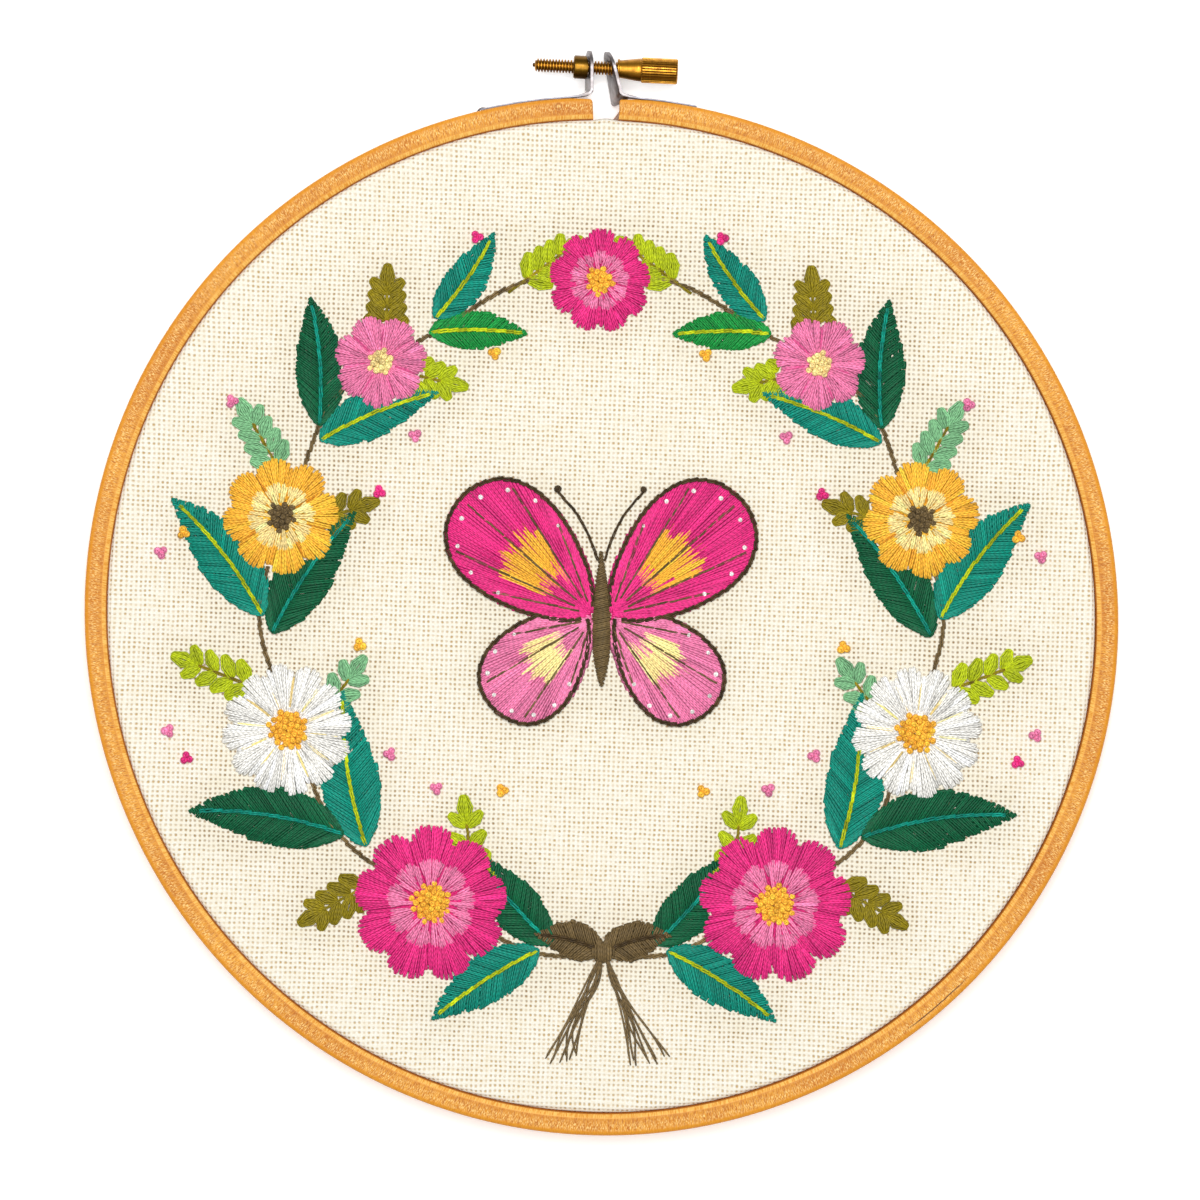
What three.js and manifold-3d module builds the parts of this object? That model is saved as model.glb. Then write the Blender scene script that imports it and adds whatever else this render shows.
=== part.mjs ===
// An eight inch embroidery hoop with its worked cloth, lying on its back: millimetres, +Z up.
// The origin is under the middle of the whole piece, and the clamping screw is towards +Y.

import * as THREE from "three";
import { mergeVertices } from "three/addons/utils/BufferGeometryUtils.js";
import Module from "manifold-3d";

const wasm = await Module();
wasm.setup();

// ---- Driving dimensions ----

const AIR = 0.3; // left between pieces that touch

// hoops
const INNER_HOOP_RADIUS = 101.6; // outside of the inner hoop
const INNER_HOOP_WIDTH = 4.5;
const INNER_HOOP_FRONT = 8.4;
const SHOULDER = 2.0; // rounding that the cloth is drawn over
const OUTER_HOOP_WIDTH = 5.0;
const OUTER_HOOP_DEPTH = 10.0;
const RIM_ROUND = 0.9; // outer edge of the outer hoop
const BEVEL_WIDTH = 1.3; // inner bevel on its front face
const BEVEL_DROP = 0.7;
const BACK_EASE = 0.5; // small edges at the backs of both hoops
const OVAL = 0.0056; // the hoops are this much out of round
const OVAL_ANGLE = 124; // direction of the long axis, in degrees from +X
const RING_STEPS = 96;

// split in the outer hoop: where each end stands, in X
const SPLIT = {
  left: { outer: -1.57, inner: -1.15, corner: 0.7 },
  right: { frontOuter: 4.35, frontInner: 4.18, backOuter: 6.2, backInner: 2.67 },
};

// cloth
const CLOTH = 1.0; // thickness
const CLOTH_HEM = 0.9; // height of its trimmed edge above the hoops' backs

// brackets: a steel strip along the rim, bent up into a lug with a round eye
const STRIP_WIDTH = 7.2;
const STRIP = 0.65; // thickness
const STRIP_FRONT = OUTER_HOOP_DEPTH / 2 + STRIP_WIDTH / 2;
const EYE_HOLE = 1.85; // radius
const LEFT_BRACKET = { footEnd: 103.2, footStart: 92.3, lugX: -1.97, eyeX: -1.95, twist: 1.2, heel: 0 };
const RIGHT_BRACKET = { footEnd: 79.1, footStart: 86.6, lugX: 4.0, eyeX: 2.9, twist: 1.75, heel: 2.3 };
const BEND_HEIGHT = 1.9; // from the rim to the straight part of the lug
const HEEL_REACH = 2.2; // length over which a heel dips past the end of the wood

// screw and nut, measured along the screw from the middle of the split
const SCREW_HEIGHT = 114.65; // from the middle of the hoop
const SCREW_TILT = -2.8; // degrees, down towards the head
const THREAD = { tip: -13.9, pitch: 0.635, crest: 1.35, root: 1.08 };
const NIB = { reach: 0.5, radius: 0.4 };
const COLLAR = { start: 3.35, end: 3.8, radius: 2.1 };
const TAPER = { radiusAtCollar: 1.85, radiusAtBarrel: 2.45 };
const BARREL = { start: 8.3, end: 15.9, radius: 2.65, fluteDepth: 0.18, flutes: 24, bevel: 0.3 };
const NUT = { start: -5.85, radius: 2.45, chamfer: 0.25 };

// embroidery: how far each kind of stitching stands above the cloth
const SATIN_RISE = { leaf: 0.45, petals: 0.6, eye: 0.8, wing: 0.5, body: 0.8, thread: 0.45 };
const SATIN_ROUND = 0.25; // rounding along an edge
const SATIN_ROOT = 0.4; // how deep the stitches go into the cloth
const WREATH = 70; // radius of the wreath's stem

// Leaves on one half of the wreath. at: degrees round the wreath from the bow; side: 1 outside,
// -1 inside; lean: degrees from the stem; bend: degrees along the midrib.
const LEAVES = [
  { at: 11, side: 1, lean: 44, length: 27, width: 10.5, bend: -16 },
  { at: 9, side: -1, lean: 40, length: 26, width: 10.5, bend: 14 },
  { at: 50, side: 1, lean: 42, length: 33, width: 12.5, bend: -24 },
  { at: 46, side: -1, lean: 36, length: 33, width: 12.5, bend: 20 },
  { at: 90, side: 1, lean: 38, length: 31, width: 12, bend: -22 },
  { at: 87, side: -1, lean: 38, length: 31, width: 11.5, bend: 18 },
  { at: 124, side: 1, lean: 38, length: 27, width: 10.5, bend: -20 },
  { at: 122, side: -1, lean: 36, length: 27, width: 10, bend: 18 },
  { at: 151, side: 1, lean: 26, length: 22, width: 8.5, bend: -16 },
  { at: 149, side: -1, lean: 32, length: 21, width: 8, bend: 14 },
];

// Flowers on one half of the wreath, and the one that closes it at the top.
const FLOWERS = [
  { at: 31, radius: 16.5, petals: 9, eye: 4.3 },
  { at: 70, radius: 14, petals: 12, eye: 4.2 },
  { at: 107, radius: 12.5, petals: 8, eye: 3.1 },
  { at: 139, radius: 10, petals: 7, eye: 2.7 },
];
const TOP_FLOWER = { at: 180, radius: 11, petals: 9, eye: 3.0 };
const PETAL_TURN = 8; // degrees by which the first petal is turned
const PETAL_NOTCH = 0.82; // where two petals part, as a share of the radius

// Butterfly in the middle: each wing is an egg, out from the body at an angle.
const WINGS = [
  { x: 16, y: 12.5, angle: 42, length: 35, width: 22 },
  { x: 13, y: -9.5, angle: -48, length: 27, width: 18 },
];
const WING_FLARE = 0.35; // how much wider a wing is towards its tip
const BODY = { length: 28, width: 4.4, tail: -14.5 };

// Bow at the foot of the wreath: two loops, a knot and tails of loose thread.
const BOW = { loopLength: 16, loopWidth: 8, loopRise: 14, loopBend: -28, knot: 2.4 };
const TAILS = { count: 5, length: 22, width: 0.9, spread: 7, lean: 9 };

// ---- Solids ----

function toSolid(geometry) {
  const bare = geometry.clone();
  bare.deleteAttribute("normal");
  bare.deleteAttribute("uv");
  const merged = mergeVertices(bare, 1e-4);
  const index = Array.from(merged.index.array);
  const kept = [];
  for (let i = 0; i < index.length; i += 3) {
    const [a, b, c] = index.slice(i, i + 3);
    if (a !== b && b !== c && c !== a) kept.push(a, b, c);
  }
  return new wasm.Manifold(new wasm.Mesh({
    numProp: 3,
    vertProperties: new Float32Array(merged.attributes.position.array),
    triVerts: new Uint32Array(kept),
  }));
}

function toGeometry(solid) {
  const mesh = solid.getMesh();
  const geometry = new THREE.BufferGeometry();
  geometry.setAttribute("position", new THREE.BufferAttribute(new Float32Array(mesh.vertProperties), 3));
  geometry.setIndex(new THREE.BufferAttribute(new Uint32Array(mesh.triVerts), 1));
  geometry.computeVertexNormals();
  return geometry;
}

function moveVertices(geometry, move) {
  const position = geometry.attributes.position;
  const point = new THREE.Vector3();
  for (let i = 0; i < position.count; i += 1) {
    point.fromBufferAttribute(position, i);
    move(point);
    position.setXYZ(i, point.x, point.y, point.z);
  }
  return geometry;
}

function ease(value) {
  return THREE.MathUtils.smoothstep(value, 0, 1);
}

// ---- Hoops and cloth ----

const stretch = new THREE.Matrix4()
  .makeRotationZ(THREE.MathUtils.degToRad(OVAL_ANGLE))
  .multiply(new THREE.Matrix4().makeScale(1 + OVAL, 1 - OVAL, 1))
  .multiply(new THREE.Matrix4().makeRotationZ(THREE.MathUtils.degToRad(-OVAL_ANGLE)));

// A point on the slightly oval hoop, at an angle in degrees from +X.
function rimPoint(angle, radius) {
  const a = THREE.MathUtils.degToRad(angle);
  const point = new THREE.Vector3(radius * Math.cos(a), radius * Math.sin(a), 0).applyMatrix4(stretch);
  return new THREE.Vector2(point.x, point.y);
}

// The profile runs in radius and height, up its outer side.
function turned(profile) {
  const geometry = new THREE.LatheGeometry(profile, RING_STEPS);
  return geometry.rotateX(Math.PI / 2).applyMatrix4(stretch);
}

function corner(profile, radius, height, size, from, steps) {
  for (let i = 0; i <= steps; i += 1) {
    const a = THREE.MathUtils.degToRad(from + (90 * i) / steps);
    profile.push(new THREE.Vector2(radius + size * Math.cos(a), height + size * Math.sin(a)));
  }
}

const CLOTH_INSIDE = INNER_HOOP_RADIUS + AIR;
const CLOTH_OUTSIDE = CLOTH_INSIDE + CLOTH;
const CLOTH_FRONT = INNER_HOOP_FRONT + AIR + CLOTH;
const RIM_INSIDE = CLOTH_OUTSIDE + AIR;
const RIM = RIM_INSIDE + OUTER_HOOP_WIDTH;

function outerHoopRing() {
  const profile = [new THREE.Vector2(RIM_INSIDE + BACK_EASE, 0)];
  corner(profile, RIM - RIM_ROUND, RIM_ROUND, RIM_ROUND, 270, 2);
  corner(profile, RIM - RIM_ROUND, OUTER_HOOP_DEPTH - RIM_ROUND, RIM_ROUND, 0, 3);
  profile.push(new THREE.Vector2(RIM_INSIDE + BEVEL_WIDTH, OUTER_HOOP_DEPTH));
  profile.push(new THREE.Vector2(RIM_INSIDE, OUTER_HOOP_DEPTH - BEVEL_DROP));
  profile.push(new THREE.Vector2(RIM_INSIDE, BACK_EASE));
  profile.push(profile[0].clone());
  return turned(profile);
}

// The split is a block. On its right side the wood's back edge is cut away at the rim and left
// standing proud inside.
function splitCutter() {
  const { left, right } = SPLIT;
  const past = 3;
  const shape = new THREE.Shape([
    new THREE.Vector2(left.inner, RIM_INSIDE - past),
    new THREE.Vector2(right.frontInner, RIM_INSIDE - past),
    new THREE.Vector2(right.frontInner, RIM_INSIDE),
    new THREE.Vector2(right.frontOuter, RIM),
    new THREE.Vector2(right.frontOuter, RIM + past),
    new THREE.Vector2(left.outer - left.corner - past, RIM + past),
    new THREE.Vector2(left.outer - left.corner, RIM),
    new THREE.Vector2(left.outer, RIM - left.corner),
    new THREE.Vector2(left.inner, RIM_INSIDE),
  ]);
  const block = new THREE.ExtrudeGeometry(shape, { depth: OUTER_HOOP_DEPTH + 2, bevelEnabled: false });
  block.translate(0, 0, -1);
  return moveVertices(block, (point) => {
    if (point.x < right.frontInner - 1 || point.z > 0) return;
    const outside = THREE.MathUtils.clamp((point.y - RIM_INSIDE) / OUTER_HOOP_WIDTH, 0, 1);
    point.x = THREE.MathUtils.lerp(right.backInner, right.backOuter, outside);
  });
}

function outerHoop() {
  return toGeometry(toSolid(outerHoopRing()).subtract(toSolid(splitCutter())));
}

function innerHoop() {
  const inside = INNER_HOOP_RADIUS - INNER_HOOP_WIDTH;
  const profile = [new THREE.Vector2(inside + BACK_EASE, 0)];
  corner(profile, INNER_HOOP_RADIUS - BACK_EASE, BACK_EASE, BACK_EASE, 270, 1);
  corner(profile, INNER_HOOP_RADIUS - SHOULDER, INNER_HOOP_FRONT - SHOULDER, SHOULDER, 0, 3);
  profile.push(new THREE.Vector2(inside + BACK_EASE, INNER_HOOP_FRONT));
  profile.push(new THREE.Vector2(inside, INNER_HOOP_FRONT - BACK_EASE));
  profile.push(new THREE.Vector2(inside, BACK_EASE));
  profile.push(profile[0].clone());
  return toGeometry(toSolid(turned(profile)));
}

// The cloth is a shallow pan: flat over the front, round over the shoulder, down between the hoops.
function stretchedCloth() {
  const turnRadius = INNER_HOOP_RADIUS - SHOULDER;
  const turnHeight = INNER_HOOP_FRONT - SHOULDER;
  const under = [];
  corner(under, turnRadius, turnHeight, SHOULDER + AIR, 0, 3);
  const profile = [new THREE.Vector2(0, CLOTH_FRONT - CLOTH), ...under.reverse()];
  profile.push(new THREE.Vector2(CLOTH_INSIDE, CLOTH_HEM));
  profile.push(new THREE.Vector2(CLOTH_OUTSIDE, CLOTH_HEM));
  corner(profile, turnRadius, turnHeight, SHOULDER + AIR + CLOTH, 0, 3);
  profile.push(new THREE.Vector2(0, CLOTH_FRONT));
  return toSolid(turned(profile));
}

// ---- Embroidery, raised on the cloth ----

// A rounded pad of stitches inside an outline, rooted in the cloth.
function pad(outline, rise) {
  const shape = new THREE.Shape(outline);
  const geometry = new THREE.ExtrudeGeometry(shape, {
    depth: SATIN_ROOT + rise - SATIN_ROUND,
    bevelThickness: SATIN_ROUND,
    bevelSize: SATIN_ROUND,
    bevelOffset: -SATIN_ROUND,
    bevelSegments: 1,
  });
  return toSolid(geometry.translate(0, 0, CLOTH_FRONT - SATIN_ROOT));
}

function wreathPoint(at, radius) {
  const a = THREE.MathUtils.degToRad(at - 90);
  return new THREE.Vector2(radius * Math.cos(a), radius * Math.sin(a));
}

// Both edges of a pointed leaf about a bent midrib. heading and bend are in degrees.
function leafOutline(base, heading, { length, width, bend }, steps = 8) {
  const left = [];
  const right = [];
  const rib = base.clone();
  for (let i = 1; i < steps; i += 1) {
    const share = i / steps;
    const way = THREE.MathUtils.degToRad(heading + bend * (share - 0.5));
    rib.add(new THREE.Vector2(Math.cos(way), Math.sin(way)).multiplyScalar(length / steps));
    const half = (width / 2) * Math.sin(Math.PI * share ** 0.8) ** 0.85;
    const across = new THREE.Vector2(-Math.sin(way), Math.cos(way)).multiplyScalar(half);
    left.push(rib.clone().add(across));
    right.push(rib.clone().sub(across));
  }
  const end = THREE.MathUtils.degToRad(heading + bend / 2);
  const tip = rib.clone().add(new THREE.Vector2(Math.cos(end), Math.sin(end)).multiplyScalar(length / steps));
  return [base, ...right, tip, ...left.reverse()];
}

function mirrored(outline) {
  return outline.map((point) => new THREE.Vector2(-point.x, point.y)).reverse();
}

function wreathLeaf(leaf) {
  const base = wreathPoint(leaf.at, WREATH + leaf.side);
  return leafOutline(base, leaf.at - leaf.lean * leaf.side, leaf);
}

// Round petals side by side, as one lobed outline.
function flowerOutline({ at, radius, petals }) {
  const middle = wreathPoint(at, WREATH);
  const outline = [];
  const shoulder = (1 + PETAL_NOTCH) / 2 + 0.04;
  const lobe = [[-0.5, PETAL_NOTCH], [-0.3, shoulder], [0, 1], [0.3, shoulder]];
  for (let petal = 0; petal < petals; petal += 1) {
    for (const [turn, reach] of lobe) {
      const a = THREE.MathUtils.degToRad(PETAL_TURN + (360 * (petal + turn)) / petals);
      outline.push(new THREE.Vector2(Math.cos(a), Math.sin(a)).multiplyScalar(radius * reach).add(middle));
    }
  }
  return outline;
}

function discOutline(middle, radius, steps = 10) {
  return Array.from({ length: steps }, (_, i) => {
    const a = (2 * Math.PI * i) / steps;
    return new THREE.Vector2(Math.cos(a), Math.sin(a)).multiplyScalar(radius).add(middle);
  });
}

function wingOutline({ x, y, angle, length, width }, steps = 16) {
  const middle = new THREE.Vector2(x, y);
  const turn = THREE.MathUtils.degToRad(angle);
  return Array.from({ length: steps }, (_, i) => {
    const a = (2 * Math.PI * i) / steps;
    const out = (length / 2) * Math.cos(a);
    const across = (width / 2) * Math.sin(a) * (1 + WING_FLARE * Math.cos(a));
    return new THREE.Vector2(out, across).add(middle).rotateAround(middle, turn);
  });
}

function tailOutline(number) {
  const knot = wreathPoint(0, WREATH);
  const fan = number / (TAILS.count - 1);
  const end = new THREE.Vector2(TAILS.lean - TAILS.spread / 2 + TAILS.spread * fan, -TAILS.length).add(knot);
  const half = new THREE.Vector2(TAILS.width / 2, 0);
  return [knot.clone().sub(half), end.clone().sub(half), end.clone().add(half), knot.clone().add(half)];
}

function embroidery() {
  const half = [];
  LEAVES.forEach((leaf) => half.push([wreathLeaf(leaf), SATIN_RISE.leaf]));
  FLOWERS.forEach((flower) => {
    half.push([flowerOutline(flower), SATIN_RISE.petals]);
    half.push([discOutline(wreathPoint(flower.at, WREATH), flower.eye), SATIN_RISE.eye]);
  });
  WINGS.forEach((wing) => half.push([wingOutline(wing), SATIN_RISE.wing]));
  const knot = wreathPoint(0, WREATH);
  const loop = { length: BOW.loopLength, width: BOW.loopWidth, bend: BOW.loopBend };
  half.push([leafOutline(knot, BOW.loopRise, loop), SATIN_RISE.body]);
  for (let i = 0; i < TAILS.count; i += 1) half.push([tailOutline(i), SATIN_RISE.thread]);

  const both = half.flatMap(([outline, rise]) => [[outline, rise], [mirrored(outline), rise]]);
  both.push([flowerOutline(TOP_FLOWER), SATIN_RISE.petals]);
  both.push([discOutline(wreathPoint(TOP_FLOWER.at, WREATH), TOP_FLOWER.eye), SATIN_RISE.eye]);
  both.push([leafOutline(new THREE.Vector2(0, BODY.tail), 90, { ...BODY, bend: 0 }), SATIN_RISE.body]);
  both.push([discOutline(knot, BOW.knot), SATIN_RISE.body + AIR]);
  return both.map(([outline, rise]) => pad(outline, rise));
}

function workedCloth() {
  return toGeometry(embroidery().reduce((cloth, stitches) => cloth.add(stitches), stretchedCloth()));
}

// ---- Brackets ----

const screwMiddle = new THREE.Vector3(0, SCREW_HEIGHT, OUTER_HOOP_DEPTH / 2);
const screwPlace = new THREE.Matrix4()
  .makeTranslation(screwMiddle)
  .multiply(new THREE.Matrix4().makeRotationZ(THREE.MathUtils.degToRad(SCREW_TILT)));

function screwHeightAt(x) {
  return SCREW_HEIGHT + x * Math.tan(THREE.MathUtils.degToRad(SCREW_TILT));
}

// The middle line of a bracket's strip: along the rim, round the bend and up the lug.
function stripLine({ footEnd, footStart, lugX, eyeX }) {
  const radius = RIM + AIR + STRIP / 2;
  const points = [];
  const footSteps = 6;
  for (let i = 0; i <= footSteps; i += 1) {
    points.push(rimPoint(footEnd + ((footStart - footEnd) * i) / footSteps, radius));
  }
  const foot = points[footSteps];
  const lug = new THREE.Vector2(lugX, RIM + BEND_HEIGHT);
  const bend = new THREE.QuadraticBezierCurve(foot, new THREE.Vector2(lugX, foot.y), lug);
  points.push(...bend.getPoints(9).slice(1));
  const eyeHeight = screwHeightAt(eyeX);
  const slope = (eyeX - lugX) / (eyeHeight - lug.y);
  const rise = eyeHeight + STRIP_WIDTH / 2 + 1 - lug.y;
  points.push(new THREE.Vector2(lugX + slope * rise, lug.y + rise));
  return points;
}

function stripShape(line) {
  const left = [];
  const right = [];
  line.forEach((point, i) => {
    const before = line[Math.max(i - 1, 0)];
    const after = line[Math.min(i + 1, line.length - 1)];
    const way = after.clone().sub(before).normalize();
    const across = new THREE.Vector2(-way.y, way.x).multiplyScalar(STRIP / 2);
    left.push(point.clone().add(across));
    right.push(point.clone().sub(across));
  });
  return new THREE.Shape([...right, ...left.reverse()]);
}

// The strip seen along the rim: straight sides and a round end about the eye.
function lugOutline(eyeHeight) {
  const middle = OUTER_HOOP_DEPTH / 2;
  const half = STRIP_WIDTH / 2 - 0.02;
  const shape = new THREE.Shape();
  shape.moveTo(-middle - half, RIM_INSIDE);
  shape.lineTo(-middle + half, RIM_INSIDE);
  shape.lineTo(-middle + half, eyeHeight);
  shape.absarc(-middle, eyeHeight, half, 0, Math.PI, false);
  shape.lineTo(-middle - half, RIM_INSIDE);
  const reach = 60;
  const bar = new THREE.ExtrudeGeometry(shape, { depth: reach, bevelEnabled: false, curveSegments: 16 });
  return bar.translate(0, 0, -reach / 2).rotateY(Math.PI / 2);
}

function bracket(sizes) {
  const strip = new THREE.ExtrudeGeometry(stripShape(stripLine(sizes)), {
    depth: STRIP_WIDTH,
    bevelEnabled: false,
  });
  strip.translate(0, 0, STRIP_FRONT - STRIP_WIDTH);
  const eyeHeight = screwHeightAt(sizes.eyeX);
  const hole = new THREE.CylinderGeometry(EYE_HOLE, EYE_HOLE, 4 * EYE_HOLE, 32);
  hole.rotateZ(Math.PI / 2).translate(sizes.eyeX, eyeHeight, OUTER_HOOP_DEPTH / 2);
  const flat = toSolid(strip).intersect(toSolid(lugOutline(eyeHeight))).subtract(toSolid(hole));
  return moveVertices(toGeometry(flat), (point) => twistLug(point, sizes));
}

// A lug is twisted in use: its back edge stands further left, and its heel may dip into the split.
function twistLug(point, { twist, heel, lugX }) {
  const back = (STRIP_FRONT - point.z) / STRIP_WIDTH;
  const up = ease((point.y - RIM - AIR) / BEND_HEIGHT);
  const pastWood = ease((lugX + HEEL_REACH - point.x) / HEEL_REACH);
  const low = 1 - ease((point.y - RIM - BEND_HEIGHT) / BEND_HEIGHT);
  point.x -= twist * back * Math.max(up, heel > 0 ? pastWood : 0);
  point.y -= heel * back * pastWood * low;
}

// ---- Screw and nut ----

function alongScrew(geometry) {
  return geometry.rotateZ(-Math.PI / 2);
}

// Nib, threaded rod, collar and taper, as one turned piece.
function screwShank() {
  const profile = [new THREE.Vector2(0, THREAD.tip - NIB.reach)];
  profile.push(new THREE.Vector2(NIB.radius, THREAD.tip - NIB.reach));
  profile.push(new THREE.Vector2(NIB.radius, THREAD.tip));
  const turns = Math.floor((COLLAR.start - THREAD.tip) / THREAD.pitch);
  for (let i = 0; i < turns; i += 1) {
    profile.push(new THREE.Vector2(THREAD.root, THREAD.tip + i * THREAD.pitch));
    profile.push(new THREE.Vector2(THREAD.crest, THREAD.tip + (i + 0.5) * THREAD.pitch));
  }
  profile.push(new THREE.Vector2(THREAD.root, COLLAR.start));
  profile.push(new THREE.Vector2(COLLAR.radius, COLLAR.start));
  profile.push(new THREE.Vector2(COLLAR.radius, COLLAR.end));
  profile.push(new THREE.Vector2(TAPER.radiusAtCollar, COLLAR.end));
  profile.push(new THREE.Vector2(TAPER.radiusAtBarrel, BARREL.start + BARREL.bevel));
  profile.push(new THREE.Vector2(0, BARREL.start + BARREL.bevel));
  return alongScrew(new THREE.LatheGeometry(profile, 14));
}

function flutedBarrel() {
  const outline = [];
  for (let i = 0; i < BARREL.flutes; i += 1) {
    for (const [turn, depth] of [[-0.28, 0], [0.28, 0], [0.5, BARREL.fluteDepth]]) {
      const a = (2 * Math.PI * (i + turn)) / BARREL.flutes;
      const radius = BARREL.radius - depth;
      outline.push(new THREE.Vector2(radius * Math.cos(a), radius * Math.sin(a)));
    }
  }
  const barrel = new THREE.ExtrudeGeometry(new THREE.Shape(outline), {
    depth: BARREL.end - BARREL.start - 2 * BARREL.bevel,
    bevelThickness: BARREL.bevel,
    bevelSize: BARREL.bevel,
    bevelOffset: -BARREL.bevel,
    bevelSegments: 1,
  });
  return barrel.rotateY(Math.PI / 2).translate(BARREL.start + BARREL.bevel, 0, 0);
}

function thumbScrew() {
  const screw = toGeometry(toSolid(screwShank()).add(toSolid(flutedBarrel())));
  return screw.applyMatrix4(screwPlace);
}

// The nut's right end lies flat against the twisted lug.
function nut() {
  const bore = THREAD.crest + AIR;
  const lugFace = LEFT_BRACKET.eyeX - STRIP / 2 - AIR;
  const profile = [
    new THREE.Vector2(bore, NUT.start),
    new THREE.Vector2(NUT.radius - NUT.chamfer, NUT.start),
    new THREE.Vector2(NUT.radius, NUT.start + NUT.chamfer),
    new THREE.Vector2(NUT.radius, lugFace),
    new THREE.Vector2(bore, lugFace),
    new THREE.Vector2(bore, NUT.start),
  ];
  const geometry = alongScrew(new THREE.LatheGeometry(profile, 36)).applyMatrix4(screwPlace);
  return toGeometry(toSolid(moveVertices(geometry, (point) => {
    if (point.x < lugFace - 1) return;
    point.x = lugFace;
    twistLug(point, LEFT_BRACKET);
  })));
}

// ---- The whole piece ----

const FINISH = {
  beech: { color: 0xe8a85f, roughness: 0.55, metalness: 0 },
  innerBeech: { color: 0xe2b071, roughness: 0.6, metalness: 0 },
  evenweave: { color: 0xf5ecd6, roughness: 0.9, metalness: 0 },
  steel: { color: 0xaaa0a5, roughness: 0.35, metalness: 1 },
  brass: { color: 0xb88a34, roughness: 0.3, metalness: 1 },
  agedBrass: { color: 0x8e6921, roughness: 0.4, metalness: 1 },
};

function piece(name, geometry, finish) {
  const mesh = new THREE.Mesh(geometry, new THREE.MeshStandardMaterial(finish));
  mesh.name = name;
  return mesh;
}

const hoop = new THREE.Group();
hoop.add(
  piece("outer_hoop", outerHoop(), FINISH.beech),
  piece("inner_hoop", innerHoop(), FINISH.innerBeech),
  piece("cloth", workedCloth(), FINISH.evenweave),
  piece("left_bracket", bracket(LEFT_BRACKET), FINISH.steel),
  piece("right_bracket", bracket(RIGHT_BRACKET), FINISH.steel),
  piece("nut", nut(), FINISH.agedBrass),
  piece("thumb_screw", thumbScrew(), FINISH.brass),
);

const extent = new THREE.Box3().setFromObject(hoop).getCenter(new THREE.Vector3());
hoop.position.set(-extent.x, -extent.y, 0);

const model = new THREE.Group();
model.add(hoop);

export default model;
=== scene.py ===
import math
from collections import namedtuple

import bmesh
import bpy
import numpy as np
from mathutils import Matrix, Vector


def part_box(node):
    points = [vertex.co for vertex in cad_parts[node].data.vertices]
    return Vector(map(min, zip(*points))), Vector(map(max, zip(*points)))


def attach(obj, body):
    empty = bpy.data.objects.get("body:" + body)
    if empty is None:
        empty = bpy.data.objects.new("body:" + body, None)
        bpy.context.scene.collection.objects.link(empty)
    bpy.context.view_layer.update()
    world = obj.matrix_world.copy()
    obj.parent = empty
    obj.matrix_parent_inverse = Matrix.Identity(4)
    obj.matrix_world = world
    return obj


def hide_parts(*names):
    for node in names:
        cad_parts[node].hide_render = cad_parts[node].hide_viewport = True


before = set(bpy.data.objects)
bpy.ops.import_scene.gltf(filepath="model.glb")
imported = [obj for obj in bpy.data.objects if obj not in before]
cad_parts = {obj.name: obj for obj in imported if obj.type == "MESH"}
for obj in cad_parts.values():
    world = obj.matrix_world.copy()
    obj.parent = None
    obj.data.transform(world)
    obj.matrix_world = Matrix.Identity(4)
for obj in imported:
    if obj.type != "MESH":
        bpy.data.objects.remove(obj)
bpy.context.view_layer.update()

# ---- Outer hoop ----
# A square strip of beech, steamed, bent into a ring and lacquered, and left open at the top
# where the screw draws its ends together. Its face shows short rays, a small knot and a
# hairline crack. Its inner edge is bevelled; the bevel is painted paler, as a painted
# highlight, and the lip inside it dark brown, as painted shade of the crevice by the cloth.

MM = 0.001
lowest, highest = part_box("inner_hoop")
HOOP_MIDDLE = np.array([(lowest[0] + highest[0]) / 2, (lowest[1] + highest[1]) / 2, 0.0])

RIM_INSIDE = 103.2
RIM = 108.2
OUTER_DEPTH = 10.0
RIM_ROUND = 0.9
OUTER_SIDE = (3.0, 5.0, 7.0)
# across the strip from its inner side, and up from its back
BACK_PROFILE = [(0.12, 0.12), (0.5, 0.0), (2.5, 0.0)]
BEVEL_PROFILE = [
    (3.4, 10.0), (2.7, 10.0), (2.1, 10.0), (1.62, 10.0), (1.46, 9.985), (1.32, 9.945),
    (1.18, 9.89), (0.85, 9.72), (0.6, 9.56), (0.5, 9.44), (0.4, 9.2), (0.25, 8.75),
    (0.1, 8.2), (0.0, 7.6), (0.0, 5.0), (0.0, 0.4),
]
STRIP_MIDDLE = (2.5, 5.0)
OVAL = 0.0056
OVAL_TURN = math.radians(124)
# where each sawn end stands, at the strip's inner and outer side
SPLIT_LEFT = {"edge": (-1.15, -1.3), "corner": 0.7}
SPLIT_RIGHT = {"front": (4.18, 4.35), "back": (2.67, 6.2), "corner": 0.25}
END_EASE = 0.32
END_DIP = {"depth": 0.35, "reach": 3.2}
END_STEPS = (0.0, 0.04, 0.12, 0.24, 0.4, 0.6, 0.9, 1.4, 2.2, 3.4)
BODY_TURNS = np.radians(np.linspace(93.6, 444.2, 620))
GRAIN_RADIUS = 106
KNOT_PLACE = (174.9, 3.4, 10.0)
KNOT_SIZE = 0.62
CRACK = {"middle": 575.3, "half_length": 9.3, "across": 3.55, "half_width": 0.17}


def side_by_side(*parts):
    """Numbers, or arrays of them, as the coordinates of points."""
    return np.stack(np.broadcast_arrays(*parts), axis=-1)


def about_middle(radius, turn, height):
    """Points about the hoop's middle, in millimetres."""
    return side_by_side(radius * np.cos(turn), radius * np.sin(turn), height)


def out_of_round(points):
    """Hoops in use are slightly oval, and what they hold goes with them."""
    c, s = math.cos(2 * OVAL_TURN), math.sin(2 * OVAL_TURN)
    x, y, z = np.asarray(points, dtype=float).T
    return side_by_side(x + OVAL * (c * x + s * y), y + OVAL * (s * x - c * y), z)


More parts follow.
